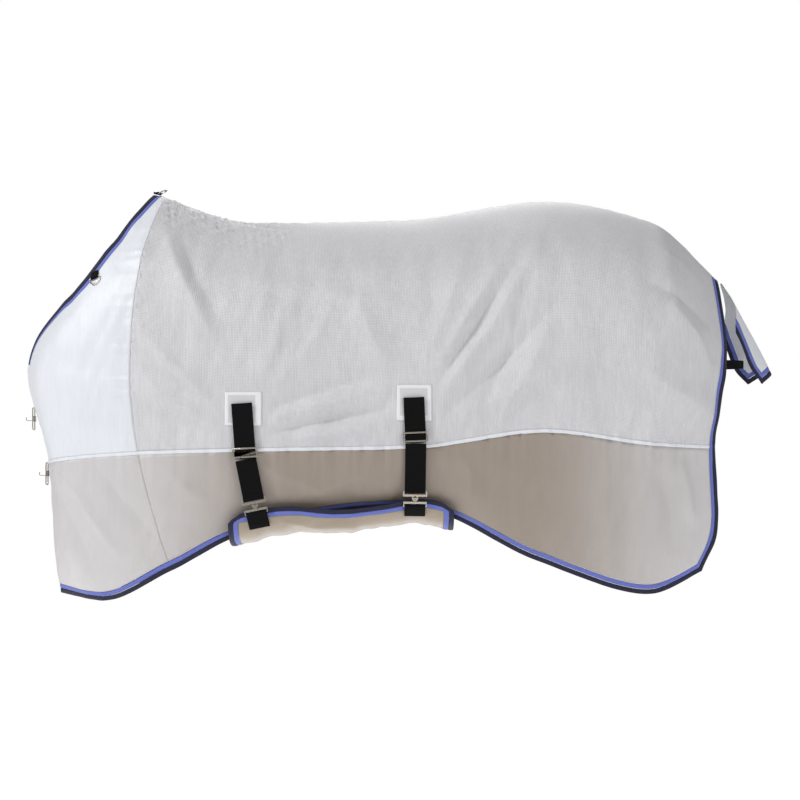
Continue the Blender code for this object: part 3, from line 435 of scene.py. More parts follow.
def bend(piece, place, flip, weld=False):
    """Bends a flat square: place turns shares (s, t) into points; its UV map is then in metres."""
    mesh = piece.data
    count = len(mesh.vertices)
    flat = np.empty(count * 3)
    mesh.vertices.foreach_get("co", flat)
    s, t = np.clip(flat[0::3] + 0.5, 0, 1), np.clip(flat[1::3] + 0.5, 0, 1)
    points = place(s, t)
    mesh.vertices.foreach_set("co", points.ravel())
    order = np.lexsort((t, s))
    columns = len(np.unique(np.round(s, 5)))
    laid = points[order].reshape(columns, -1, 3)
    long_way = np.linalg.norm(np.diff(laid, axis=0), axis=2).sum(axis=0)
    cross_way = np.linalg.norm(np.diff(laid, axis=1), axis=2).sum(axis=1)
    size = (float(long_way.max()), float(cross_way.max()))
    loops = np.empty(len(mesh.loops), int)
    mesh.loops.foreach_get("vertex_index", loops)
    laid_out = np.stack([s[loops] * size[0], t[loops] * size[1]], axis=1)
    mesh.uv_layers["UVMap"].uv.foreach_set("vector", laid_out.ravel())
    if flip:
        mesh.flip_normals()
    if weld:
        bm = bmesh.new()
        bm.from_mesh(mesh)
        bmesh.ops.remove_doubles(bm, verts=bm.verts, dist=1e-6)
        bm.to_mesh(mesh)
        bm.free()
    mesh.shade_smooth()
    mesh.update()
    return size


def thicken(piece, thick, outward=1.0):
    """Gives cloth its thickness, away from the horse."""
    shell = piece.modifiers.new("thickness", "SOLIDIFY")
    shell.thickness = thick
    shell.offset = outward
    shell.use_quality_normals = True


def cut_area(piece):
    """Area of the cloth before its thickness, in square metres."""
    areas = np.empty(len(piece.data.polygons))
    piece.data.polygons.foreach_get("area", areas)
    return float(areas.sum())


def dress(piece, node, body, look):
    """A finished piece: it stands for its CAD node, rides on its body and takes its material."""
    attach(piece, body)
    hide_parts(node)
    piece.data.materials.clear()
    piece.data.materials.append(look)


def declare(piece, size):
    """Works out the width, length and area that a sheet of cloth was cut to, and keeps none of them."""
    width, length = sorted(round(float(x), 3) for x in size)
    area = min(cut_area(piece), width * length)


def lay(surface, u, v, side, lift, folds):
    """Points on a surface with its folds, lifted off it, on the near or off side."""
    smooth_point = surface(u, v)
    out = normal_at(surface, u, v)
    point = smooth_point + out * (lift + folds(smooth_point, side))[:, None]
    if side < 0:
        point[:, 1] *= -1
    return point


def panel(name, surface, u_edges, v_edges, step, side=NEAR, lift=0.0, folds=relief):
    """Cloth between four edge lines of a surface; returns it with its two lengths."""
    def corner(s, t):
        u, v = np.full_like(s, 0.5), np.full_like(s, 0.5)
        for _ in range(8):
            u = u_edges[0](v) * (1 - s) + u_edges[1](v) * s
            v = v_edges[0](u) * (1 - t) + v_edges[1](u) * t
        return u, v
    def measure(along):
        ways = np.linspace(0, 1, 40)
        s, t = (ways, np.full(40, 0.5)) if along else (np.full(40, 0.5), ways)
        return float(size_of(np.diff(surface(*corner(s, t)), axis=0)).sum())
    columns = max(2, round(measure(True) / step[0]))
    rows = max(2, round(measure(False) / step[1]))
    piece = new_grid(name, columns, rows)

    def place(s, t):
        u, v = corner(s, t)
        raised = lift(s, t) if callable(lift) else np.full_like(s, lift)
        return lay(surface, u, v, side, raised, folds)
    size = bend(piece, place, flip=side > 0)
    return piece, size


def edging(name, surface, corner_lines, outer, inner, thick, step, side=NEAR, closed=False, folds=relief):
    """A narrow strip that follows the edges of a surface round its mitred corners.

    corner_lines holds one function for each stretch: (share, inset) to (u, v)."""
    stretches = len(corner_lines)
    ways = np.linspace(0, 1, 60)
    lengths = []
    for line in corner_lines:
        lengths.append(float(size_of(np.diff(surface(*line(ways, np.full(60, outer))), axis=0)).sum()))
    ends = np.concatenate([[0], np.cumsum(lengths)]) / sum(lengths)
    columns = max(8, round(sum(lengths) / step))
    piece = new_grid(name, columns, 5)

    def place(s, t):
        u, v = np.empty_like(s), np.empty_like(s)
        inset = outer + (inner - outer) * t
        which = np.clip(np.searchsorted(ends, s, side="right") - 1, 0, stretches - 1)
        for k, line in enumerate(corner_lines):
            mine = which == k
            share = (s[mine] - ends[k]) / (ends[k + 1] - ends[k])
            u[mine], v[mine] = line(share, inset[mine])
        pucker = 0.00025 * np.sin(s * sum(lengths) * 2 * np.pi / 0.011)
        lift = np.sin(np.pi * t) * (0.0007 + pucker)
        return lay(surface, u, v, side, lift, folds)
    size = bend(piece, place, flip=side > 0, weld=closed)
    thicken(piece, thick)
    return piece, size


def meet(surface, u_edge, u_way, v_edge, v_way, inset):
    """Where two edges of a surface cross when both are moved in by an inset."""
    u, v = np.full_like(inset, 0.5), np.full_like(inset, 0.5)
    for _ in range(7):
        u = inset_u_at(surface, u_edge, u_way, v, inset)
        v = inset_v_at(surface, v_edge, v_way, u, inset)
    return u, v


# ---------------------------------------------------------------- materials

# Bands of a wave texture repeat every 2 pi over 20 times its scale
BAND_SCALE = math.pi / 20 * 2
# Middle of the belly along the horse, and how far from it the painted shade over the belly ends and is full
BELLY_X = 0.66
BELLY_SHADE_FADE = (0.74, 0.26)
# Half the side of a strap patch, and where its sewn rim begins, from the patch's middle
PATCH_HALF = 0.041
RIM_EDGES = (0.032, 0.034)
# Ribs of the webbing
RIB_PITCH = 0.0032


def hex_colour(text):
    """An sRGB hex colour as linear RGBA."""
    channels = [int(text[k:k + 2], 16) / 255 for k in (1, 3, 5)]
    return tuple(c / 12.92 if c <= 0.04045 else ((c + 0.055) / 1.055) ** 2.4 for c in channels) + (1.0,)


def add(tree, kind, settings=None, links=None):
    """Adds a node with its settings and links to its inputs."""
    node = tree.nodes.new("ShaderNode" + kind)
    for name, value in (settings or {}).items():
        if name in node.inputs:
            node.inputs[name].default_value = value
        else:
            setattr(node, name, value)
    for name, source in (links or {}).items():
        tree.links.new(source, node.inputs[name])
    return node


def new_look(name):
    """An empty material and its node tree."""
    look = bpy.data.materials.new(name)
    look.use_nodes = True
    look.node_tree.nodes.clear()
    return look, look.node_tree


def scaled(colour, share):
    """A colour made lighter or darker."""
    return tuple(min(c * share, 1.0) for c in colour[:3]) + (1.0,)


def threads(tree, place, pitch):
    """Warp and weft as two sets of bands along the piece's UV map, in metres."""
    sets = []
    for way in ("X", "Y"):
        settings = {"wave_type": "BANDS", "bands_direction": way, "Scale": BAND_SCALE / pitch}
        sets.append(add(tree, "TexWave", settings, {"Vector": place.outputs["UV"]}))
    weave = add(tree, "Math", {"operation": "MAXIMUM"})
    for slot, bands in enumerate(sets):
        tree.links.new(bands.outputs["Fac"], weave.inputs[slot])
    return weave.outputs["Value"]


def fabric(name, colour, pitch, rough, bump, sheen=0.2, hollow=0.8, crinkle_and_sheen=0.0, centre=None, rim=None):
    """Cloth: threads from its UV map, slow changes of tone, and a crinkle where the cloth is thin, with painted
    sheen on the crests of its creases and painted shade in them.

    pitch is the spacing of the threads in metres, and hollow is how light the gaps between them are.
    centre is the colour of painted shade over the middle of the horse, where the cloth hangs over the shadowed
    belly, and rim is a lighter sewn edge of a square patch."""
    look, tree = new_look(name)
    place = add(tree, "TexCoord")
    weave = threads(tree, place, pitch)
    tone = add(tree, "TexNoise", {"Scale": 7.0, "Detail": 4.0, "Roughness": 0.6},
               {"Vector": place.outputs["Object"]})
    tint = add(tree, "MixRGB", {"Color1": scaled(colour, 0.90), "Color2": scaled(colour, 1.04)},
               {"Fac": tone.outputs["Fac"]}).outputs["Color"]
    spot = add(tree, "SeparateXYZ", links={"Vector": place.outputs["Object"]})
    # Painted shade: over the middle of the horse the colour turns to centre, the shade of cloth hanging over the
    # dark space under the belly
    if centre:
        away = add(tree, "Math", {"operation": "SUBTRACT"}, {0: spot.outputs["X"]})
        away.inputs[1].default_value = BELLY_X
        far = add(tree, "Math", {"operation": "ABSOLUTE"}, {0: away.outputs["Value"]})
        share = add(tree, "MapRange", {"interpolation_type": "SMOOTHSTEP", "From Min": BELLY_SHADE_FADE[0], "From Max": BELLY_SHADE_FADE[1]},
                    {"Value": far.outputs["Value"]})
        tint = add(tree, "MixRGB", {"Color2": centre}, {"Fac": share.outputs["Result"], "Color1": tint})
        tint = tint.outputs["Color"]
    if rim:
        flat = add(tree, "SeparateXYZ", links={"Vector": place.outputs["UV"]})
        far = add(tree, "Math", {"operation": "MAXIMUM"})
        for slot, way in enumerate("XY"):
            shift = add(tree, "Math", {"operation": "SUBTRACT"}, {0: flat.outputs[way]})
            shift.inputs[1].default_value = PATCH_HALF
            size = add(tree, "Math", {"operation": "ABSOLUTE"}, {0: shift.outputs["Value"]})
            tree.links.new(size.outputs["Value"], far.inputs[slot])
        share = add(tree, "MapRange", {"From Min": RIM_EDGES[0], "From Max": RIM_EDGES[1]}, {"Value": far.outputs["Value"]})
        tint = add(tree, "MixRGB", {"Color2": rim}, {"Fac": share.outputs["Result"], "Color1": tint})
        tint = tint.outputs["Color"]
    cloth = add(tree, "MixRGB", {"blend_type": "MULTIPLY", "Color2": (hollow, hollow, hollow, 1.0)},
                {"Fac": weave, "Color1": tint}).outputs["Color"]
    height = add(tree, "Bump", {"Strength": bump, "Distance": pitch * 0.3}, {"Height": weave})
    if crinkle_and_sheen:
        turned = add(tree, "Mapping", {"Rotation": (0.0, 0.6, 0.0), "Scale": (160.0, 160.0, 16.0)},
                     {"Vector": place.outputs["Object"]})
        creases = add(tree, "TexNoise", {"Scale": 1.0, "Detail": 3.0, "Roughness": 0.55, "Distortion": 0.6},
                      {"Vector": turned.outputs["Vector"]})
        # Painted sheen and shade: the colour is made lighter on the crests of the crinkle and darker in its
        # creases
        painted_crinkle_sheen = add(tree, "MapRange", {"To Min": 1.0 - crinkle_and_sheen * 0.16, "To Max": 1.0 + crinkle_and_sheen * 0.10},
                     {"Value": creases.outputs["Fac"]})
        cloth = add(tree, "MixRGB", {"blend_type": "MULTIPLY", "Fac": 1.0},
                    {"Color1": cloth, "Color2": painted_crinkle_sheen.outputs["Result"]}).outputs["Color"]
        height = add(tree, "Bump", {"Strength": crinkle_and_sheen * 0.5, "Distance": 0.0012},
                     {"Height": creases.outputs["Fac"], "Normal": height.outputs["Normal"]})
    shader = add(tree, "BsdfPrincipled", {"Roughness": rough, "Sheen Weight": sheen, "Sheen Roughness": 0.4},
                 {"Base Color": cloth, "Normal": height.outputs["Normal"]})
    add(tree, "OutputMaterial", links={"Surface": shader.outputs["BSDF"]})
    return look


def webbing(name, colour):
    """Woven webbing: ribs every 3.2 mm, as coarse as they need to be to show, on dull yarn."""
    look, tree = new_look(name)
    place = add(tree, "TexCoord")
    ribs = add(tree, "TexWave", {
        "wave_type": "BANDS", "bands_direction": "Z", "Scale": BAND_SCALE / RIB_PITCH, "Distortion": 2.0,
        "Detail": 2.0, "Detail Scale": 3.0,
    }, {"Vector": place.outputs["Object"]})
    tint = add(tree, "MixRGB", {"Color1": scaled(colour, 0.5), "Color2": scaled(colour, 1.6)},
               {"Fac": ribs.outputs["Fac"]})
    height = add(tree, "Bump", {"Strength": 0.7, "Distance": 0.0006}, {"Height": ribs.outputs["Fac"]})
    shader = add(tree, "BsdfPrincipled", {"Roughness": 0.7, "Sheen Weight": 0.0, "Specular IOR Level": 0.12},
                 {"Base Color": tint.outputs["Color"], "Normal": height.outputs["Normal"]})
    add(tree, "OutputMaterial", links={"Surface": shader.outputs["BSDF"]})
    return look


def nickel_plate(name, colour):
    """Nickel-plated steel, die cast and tumbled: warm bright metal with faint rubbed patches."""
    look, tree = new_look(name)
    place = add(tree, "TexCoord")
    rub = add(tree, "TexNoise", {"Scale": 260.0, "Detail": 4.0}, {"Vector": place.outputs["Object"]})
    rough = add(tree, "MapRange", {"To Min": 0.18, "To Max": 0.40}, {"Value": rub.outputs["Fac"]})
    height = add(tree, "Bump", {"Strength": 0.08, "Distance": 0.0002}, {"Height": rub.outputs["Fac"]})
    tint = add(tree, "MixRGB", {"Color1": scaled(colour, 0.78), "Color2": scaled(colour, 1.1)},
               {"Fac": rub.outputs["Fac"]})
    shader = add(tree, "BsdfPrincipled", {"Metallic": 1.0}, {
        "Base Color": tint.outputs["Color"], "Roughness": rough.outputs["Result"],
        "Normal": height.outputs["Normal"],
    })
    add(tree, "OutputMaterial", links={"Surface": shader.outputs["BSDF"]})
    return look


LOOKS = {}
CUT = {}


def look_of(kind):
    """The material of a kind, made once from the colours set in the panel."""
    paint = bpy.context.scene.fly_sheet_colours
    pitch = bpy.context.scene.fly_sheet_sizes.mesh_pitch
    makers = {
        # Knitted polyester mesh: thin and slightly see-through, so it reads greyer, with a crinkle whose silky
        # streaks are painted sheen and painted shade
        "mesh": lambda: fabric("knitted_polyester_mesh", paint.mesh, pitch, 0.5, 0.5, crinkle_and_sheen=1.0),
        # Warp-knit satin lining cloth: dense, smooth and bright
        "smooth_cloth": lambda: fabric(
            "satin_polyester_cloth", paint.shoulder, 0.0024, 0.4, 0.25, hollow=0.93, crinkle_and_sheen=0.5),
        # A second layer of the mesh with its turned edge sewn down, paler where the cloth is doubled
        "patch_cloth": lambda: fabric(
            "doubled_polyester_mesh", scaled(paint.mesh, 0.97), 0.0026, 0.5, 0.4, rim=scaled(paint.mesh, 1.22)),
        # Plain-weave polyester, the shoulders' smooth cloth in a duller and warmer colour: painted shade of
        # skirts that face down away from the lamps, darkest painted shade where it hangs over the belly
        "shaded_skirt_cloth": lambda: fabric(
            "skirt_polyester_painted_shade", paint.skirt, 0.0024, 0.42, 0.25, hollow=0.93, crinkle_and_sheen=0.35,
            centre=tuple(paint.skirt_belly_shade) + (1.0,)),
        # Folded grosgrain tape: ribbed across its width and dull
        "navy": lambda: fabric("navy_grosgrain_binding", paint.binding, 0.0024, 0.7, 0.6, sheen=0.05, hollow=0.6),
        "royal": lambda: fabric("blue_grosgrain_trim", paint.trim, 0.0024, 0.6, 0.6, sheen=0.1, hollow=0.8),
        # Nylon taffeta: closely woven with a wet shine on its folds; its cream cloth is given a darker tan,
        # painted shade of the band hanging under the belly
        "band_cloth": lambda: fabric(
            "cream_nylon_taffeta_painted_shade", paint.belly_band, 0.0020, 0.26, 0.15, sheen=0.05, hollow=0.9, crinkle_and_sheen=0.3),
        # Acrylic fleece: matt tufted pile
        "fleece": lambda: fabric("acrylic_fleece", paint.fleece, 0.0060, 0.95, 1.0, sheen=0.6),
        "black_webbing": lambda: webbing("black_polypropylene_webbing", paint.webbing),
        "nickel": lambda: nickel_plate("nickel_plated_steel", paint.metal),
    }
    if kind not in LOOKS:
        LOOKS[kind] = makers[kind]()
    return LOOKS[kind]


# ---------------------------------------------------------------- lines of the sheet

BINDING = 0.012
TRIMMED = 0.024
GAP = SEAM_GAP / 2
SIDES = (("near", NEAR), ("off", OFF))
SPINE = inset_v(SHEET, constant(0.0), SPINE_TAPE_WIDTH / 2 + GAP)
TAPE_TOP = inset_v(SHEET, constant(V_SKIRT_SEAM), -TAPE_WIDTH / 2)
TAPE_BOTTOM = inset_v(SHEET, constant(V_SKIRT_SEAM), TAPE_WIDTH / 2)
BODY_LOW = inset_v(SHEET, constant(V_SKIRT_SEAM), -TAPE_WIDTH / 2 - GAP)
SKIRT_TOP = inset_v(SHEET, constant(V_SKIRT_SEAM), TAPE_WIDTH / 2 + GAP)
SKIRT_LOW = inset_v(SHEET, hem_line, -TRIMMED - GAP)
BODY_END = inset_u(SHEET, 1.0, -TRIMMED - GAP)
SEAM_FRONT = inset_u(SHEET, U_SHOULDER_SEAM, -GAP)
SEAM_BACK = inset_u(SHEET, U_SHOULDER_SEAM, GAP)
NECK_IN = inset_u(SHEET, 0.0, TRIMMED + GAP)


def make_panels(sizes):
    """The cloth of both sides of the sheet."""
    for name, side in SIDES:
        pieces = (
            ("body_panel", "mesh", "mesh", (SEAM_BACK, BODY_END), (SPINE, BODY_LOW), (0.0055, 0.0055)),
            ("side_skirt", "smooth_cloth", "shaded_skirt_cloth", (SEAM_BACK, BODY_END), (SKIRT_TOP, SKIRT_LOW),
             (0.005, 0.005)),
            ("front_skirt", "smooth_cloth", "shaded_skirt_cloth", (constant(0.0), SEAM_FRONT), (SKIRT_TOP, SKIRT_LOW),
             (0.005, 0.005)),
        )
        for node, kind, look, u_edges, v_edges, step in pieces:
            piece, size = panel(f"{name}_{node}_cloth", SHEET, u_edges, v_edges, step, side)
            thicken(piece, sizes.cloth)
            dress(piece, f"{name}_{node}", "root", look_of(look))
            CUT[piece.name] = (piece, size, "draped")


def make_shoulders(sizes):
    """The shoulder cloth of both sides."""
    for name, side in SIDES:
        make_shoulder(name, side, sizes.cloth)


def make_shoulder(name, side, thick):
    """The shoulder cloth, cut round the neck above the chest edge."""
    piece = new_grid(f"{name}_shoulder_panel_cloth", 56, 130)
    split = 0.62

    def place(s, t):
        upper = t < split
        v = np.where(upper, t / split, 0.0) * (V_NECK_CORNER - 0.0012)
        u = np.zeros_like(s)
        for _ in range(6):
            top = SPINE(u)
            v_up = top + (V_NECK_CORNER - 0.0012 - top) * (t / split)
            low = BODY_LOW(u)
            v_down = V_NECK_CORNER - 0.0012 + (low - V_NECK_CORNER + 0.0012) * (t - split) / (1 - split)
            v = np.where(upper, v_up, v_down)
            front = np.where(v < V_NECK_CORNER - 0.0011, NECK_IN(np.minimum(v, V_NECK_CORNER - 0.0012)), 0.0)
            ease = np.clip((t - split) / 0.004, 0, 1)
            front = np.where(upper, front, NECK_IN(np.full_like(v, V_NECK_CORNER - 0.0012)) * (1 - ease))
            u = front * (1 - s) + SEAM_FRONT(v) * s
        return lay(SHEET, u, v, side, np.zeros_like(s), relief)
    size = bend(piece, place, flip=side > 0)
    thicken(piece, thick)
    dress(piece, f"{name}_shoulder_panel", "root", look_of("smooth_cloth"))
    CUT[piece.name] = (piece, size, "draped")


def make_tapes(sizes):
    """Seam tapes along both sides and along the back."""
    for name, side in SIDES:
        piece, _ = panel(
            f"{name}_seam_tape_cloth", SHEET, (constant(0.0), BODY_END), (TAPE_TOP, TAPE_BOTTOM),
            (0.005, 0.0016), side, lift=lambda s, t: 0.0006 * np.sin(np.pi * t))
        thicken(piece, sizes.tape)
        dress(piece, f"{name}_seam_tape", "root", look_of("smooth_cloth"))
    edge = inset_v(SHEET, constant(0.0), SPINE_TAPE_WIDTH / 2)
    piece, _ = panel(
        "spine_tape_cloth", SHEET, (constant(0.06), constant(1.0)), (lambda u: -edge(u), edge),
        (0.006, 0.003), folds=lambda point, side: 0.0004 * np.sin(point[:, 0] * 2 * np.pi / 0.05))
    thicken(piece, sizes.tape)
    dress(piece, "spine_tape", "root", look_of("smooth_cloth"))


def neck_stretch(share, inset):
    """Along the neck from the back seam down to the chest."""
    v = SPINE(np.zeros_like(share)) * (1 - share) + (V_NECK_CORNER - 0.0024) * share
    return inset_u_at(SHEET, 0.0, 1.0, v, inset), v


def hem_stretch(share, inset):
    """Along the hem from the chest to the rear corner."""
    end, _ = meet(SHEET, 1.0, -1.0, hem_line, -1.0, inset)
    u = end * share
    return u, inset_v_at(SHEET, hem_line, -1.0, u, inset)


def rear_stretch(share, inset):
    """Up the rear edge from the hem corner to the back seam."""
    _, low = meet(SHEET, 1.0, -1.0, hem_line, -1.0, inset)
    top = SPINE(np.ones_like(share))
    v = low * (1 - share) + top * share
    return inset_u_at(SHEET, 1.0, -1.0, v, inset), v


def make_edging(sizes):
    """Navy binding and blue trim round the neck, hem and rear."""
    for name, side in SIDES:
        strips = (
            ("neck_binding", "navy", [neck_stretch], 0.0, BINDING - GAP, sizes.binding),
            ("neck_trim", "royal", [neck_stretch], BINDING + GAP, TRIMMED - GAP, sizes.trim),
            ("hem_binding", "navy", [hem_stretch, rear_stretch], 0.0, BINDING - GAP, sizes.binding),
            ("hem_trim", "royal", [hem_stretch, rear_stretch], BINDING + GAP, TRIMMED - GAP, sizes.trim),
        )
        for node, kind, lines, outer, inner, thick in strips:
            piece, _ = edging(f"{name}_{node}_braid", SHEET, lines, outer, inner, thick, 0.004, side)
            dress(piece, f"{name}_{node}", "root", look_of(kind))


def make_fleece(sizes):
    """The fleece under the withers, with its pile."""
    edge = constant(V_WITHERS)
    end = constant(U_FLEECE_END)

    def pile(point, side):
        x, y = point[:, 0], point[:, 1]
        return waves(x, y, 61, 8, 0.014, 0.0012, 0.8, 1.6)
    piece, _ = panel(
        "withers_fleece_pile", SHEET, (SEAM_BACK, end), (lambda u: -edge(u), edge),
        (0.004, 0.004), lift=-0.0034, folds=pile)
    thicken(piece, sizes.pile, outward=-1.0)
    dress(piece, "withers_fleece", "root", look_of("fleece"))


def flap_line(side_way):
    """Side edge of the tail flap from its root to its tip."""
    def line(share, inset):
        edge = constant(1.0)
        end, _ = meet(FLAP, 1.0, -1.0, edge, -1.0, inset)
        share = share if side_way > 0 else 1 - share
        u = end * share
        return u, side_way * inset_v_at(FLAP, edge, -1.0, u, inset)
    return line


def flap_tip(share, inset):
    """Across the tip of the tail flap."""
    _, side = meet(FLAP, 1.0, -1.0, constant(1.0), -1.0, inset)
    v = side * (1 - 2 * share)
    return inset_u_at(FLAP, 1.0, -1.0, np.abs(v), inset), v


def make_tail(sizes):
    """The tail flap with its edgings."""
    low = inset_v(FLAP, constant(1.0), -TRIMMED - GAP)
    end = inset_u(FLAP, 1.0, -TRIMMED - GAP)
    piece, size = panel(
        "tail_flap_cloth", FLAP, (constant(0.0), lambda v: end(np.abs(v))), (lambda u: -low(u), low),
        (0.0035, 0.0035), folds=flap_relief)
    thicken(piece, sizes.cloth)
    dress(piece, "tail_flap", "tail_flap_body", look_of("smooth_cloth"))
    CUT[piece.name] = (piece, size, "hung")
    lines = [flap_line(1.0), flap_tip, flap_line(-1.0)]
    for node, kind, outer, inner in (
        ("tail_flap_trim", "royal", BINDING + GAP, TRIMMED - GAP),
        ("tail_flap_binding", "navy", 0.0, BINDING - GAP),
    ):
        piece, _ = edging(f"{node}_braid", FLAP, lines, outer, inner, sizes.trim, 0.0035, folds=flap_relief)
        dress(piece, node, "tail_flap_body", look_of(kind))


def band_stretch(which):
    """One of the four edges of the belly band, in order round it."""
    ends = ((0.004, 1.0), (0.996, -1.0))
    sides = ((constant(0.012), 1.0), (constant(0.988), -1.0))

    def corner(u_end, v_side, inset):
        (u_edge, u_way), (v_edge, v_way) = ends[u_end], sides[v_side]
        u, v = np.full_like(inset, 0.5), np.full_like(inset, 0.02 if v_side == 0 else 0.98)
        for _ in range(8):
            u = inset_u_at(band, u_edge, u_way, v, inset)
            v = inset_v_at(band, v_edge, v_way, u, inset)
        return u, v

    def line(share, inset):
        if which in (0, 2):
            v_side = which // 2
            u0, _ = corner(0, v_side, inset)
            u1, _ = corner(1, v_side, inset)
            share = share if which == 0 else 1 - share
            u = u0 * (1 - share) + u1 * share
            v_edge, v_way = sides[v_side]
            return u, inset_v_at(band, v_edge, v_way, u, inset)
        u_end = 1 if which == 1 else 0
        _, v0 = corner(u_end, 0, inset)
        _, v1 = corner(u_end, 1, inset)
        share = share if which == 1 else 1 - share
        v = v0 * (1 - share) + v1 * share
        u_edge, u_way = ends[u_end]
        return inset_u_at(band, u_edge, u_way, v, inset), v
    return line


def make_band(sizes):
    """The belly band with its edgings."""
    u_edges = (inset_u(band, 0.004, TRIMMED + GAP), inset_u(band, 0.996, -TRIMMED - GAP))
    v_edges = (inset_v(band, constant(0.012), TRIMMED + GAP), inset_v(band, constant(0.988), -TRIMMED - GAP))
    piece, size = panel("belly_band_cloth", band, u_edges, v_edges, (0.005, 0.005), folds=band_relief)
    thicken(piece, sizes.cloth)
    dress(piece, "belly_band", "root", look_of("band_cloth"))
    CUT[piece.name] = (piece, size, "hung")
    lines = [band_stretch(k) for k in range(4)]
    for node, kind, outer, inner in (
        ("belly_band_trim", "royal", BINDING + GAP, TRIMMED - GAP),
        ("belly_band_binding", "navy", 0.0, BINDING - GAP),
    ):
        piece, _ = edging(
            f"{node}_braid", band, lines, outer, inner, sizes.trim, 0.004, closed=True, folds=band_relief)
        dress(piece, node, "root", look_of(kind))


# ---------------------------------------------------------------- webbing and fittings

def merged_copy(node, name, bevel, segments=2, angle=35.0):
    """A copy of a CAD piece as one clean mesh with softened edges."""
    bm = bmesh.new()
    bm.from_mesh(frame["nodes"][node].data)
    bmesh.ops.remove_doubles(bm, verts=bm.verts, dist=2e-6)
    bmesh.ops.dissolve_limit(bm, angle_limit=math.radians(1.5), verts=bm.verts, edges=bm.edges)
    mesh = bpy.data.meshes.new(name)
    bm.to_mesh(mesh)
    bm.free()
    piece = bpy.data.objects.new(name, mesh)
    bpy.context.scene.collection.objects.link(piece)
    soft = piece.modifiers.new("soft edges", "BEVEL")
    soft.width = bevel
    soft.segments = segments
    soft.limit_method = "ANGLE"
    soft.angle_limit = math.radians(angle)
    soft.use_clamp_overlap = True
    mesh.shade_smooth()
    mesh.set_sharp_from_angle(angle=math.radians(angle))
    return piece


WEBBING_NODES = [
    f"{end}_{part}" for end in ("front", "rear") for part in ("strap_upper", "strap_lower", "band_tab")
] + [
    f"{end}_chest_{part}" for end in ("upper", "lower") for part in ("strap", "tab")
] + [
    f"{side}_{part}_ring_tab" for side in ("near", "off") for part in ("neck", "leg")
] + ["withers_ring_tab", "tail_strap"]
METAL_NODES = [f"{end}_{part}" for end in ("front", "rear") for part in ("slider", "keyhole_plate", "hook")] + [
    f"{end}_chest_{part}" for end in ("upper", "lower") for part in ("buckle", "snap")
] + [f"{side}_{part}_ring" for side in ("near", "off") for part in ("neck", "leg")] + ["withers_ring"]


def body_of(node):
    """The body that a CAD node rides on."""
    return next(body for body, nodes in frame["record"]["behaviour"]["bodies"].items() if node in nodes)


def make_webbing(sizes):
    """Straps and tabs of black webbing."""
    for node in WEBBING_NODES:
        piece = merged_copy(node, f"{node}_webbing", sizes.webbing_edge)
        dress(piece, node, body_of(node), look_of("black_webbing"))


def make_metal(sizes):
    """Sliders, plates, hooks, buckles and rings of nickel-plated steel."""
    for node in METAL_NODES:
        piece = merged_copy(node, f"{node}_metal", sizes.metal_edge, segments=3)
        dress(piece, node, body_of(node), look_of("nickel"))


def make_patches(sizes):
    """Cloth patches that spread the pull of the belly straps."""
    for end in ("front", "rear"):
        node = end + "_strap_patch"
        low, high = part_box(node)
        piece = new_grid(node + "_cloth", 30, 30)

        def place(s, t):
            u, v = locate(low.x + (high.x - low.x) * s, high.z + (low.z - high.z) * t)
            rim = np.minimum(np.minimum(s, 1 - s), np.minimum(t, 1 - t)) * (high.x - low.x)
            lift = PATCH_LIFT - 0.0010 * (1 - smooth(rim / 0.004)) - 0.0005 * np.exp(-((rim - 0.006) / 0.0015)**2)
            return lay(SHEET, u, v, NEAR, lift, relief)
        size = bend(piece, place, flip=True)
        thicken(piece, sizes.cloth)
        dress(piece, node, "root", look_of("patch_cloth"))
        CUT[piece.name] = (piece, size, "laid")


def declare_sheets():
    """Lists the edging and tapes sewn on each cut of cloth and what rests on it, and works out the size of every
    cut; none of it is kept.
    """
    sewn = {
        "tail_flap_cloth": ["tail_flap_trim_braid", "tail_flap_binding_braid"],
        "belly_band_cloth": ["belly_band_trim_braid", "belly_band_binding_braid"],
    }
    for name, _ in SIDES:
        sewn[f"{name}_shoulder_panel_cloth"] = [f"{name}_neck_binding_braid", f"{name}_neck_trim_braid"]
        sewn[f"{name}_side_skirt_cloth"] = [f"{name}_hem_binding_braid", f"{name}_hem_trim_braid"]
        sewn[f"{name}_body_panel_cloth"] = [f"{name}_seam_tape_cloth"]
    sewn["near_body_panel_cloth"].append("spine_tape_cloth")
    rests = {f"{name}_body_panel_cloth": ["withers_fleece_pile"] for name, _ in SIDES}
    for end in ("front", "rear"):
        rests[end + "_strap_patch_cloth"] = ["near_body_panel_cloth"]
    for name, (piece, size, held) in CUT.items():
        declare(piece, size)


# ---------------------------------------------------------------- stage

FLOOR_DROP = 0.55
FLOOR_HALF = 3.0
FLOOR_X = 0.6
# Name, place, size in metres and power in watts
LAMPS = (
    ("key_softbox", (-3.4, -2.0, 2.4), 1.0, 178.0),
    ("fill_softbox", (3.6, -3.6, 1.0), 2.0, 78.0),
    ("back_softbox", (1.0, 3.6, 2.2), 2.0, 60.0),
)
LAMPS_AIM = (0.62, 0.0, -0.5)
SURROUND_LIGHT = 0.30
# Millimetres for the lens and sensor, metres for the place
LENS = 78.8
SENSOR = 36.0
CAMERA_PLACE = (0.630, -4.5, -0.527)


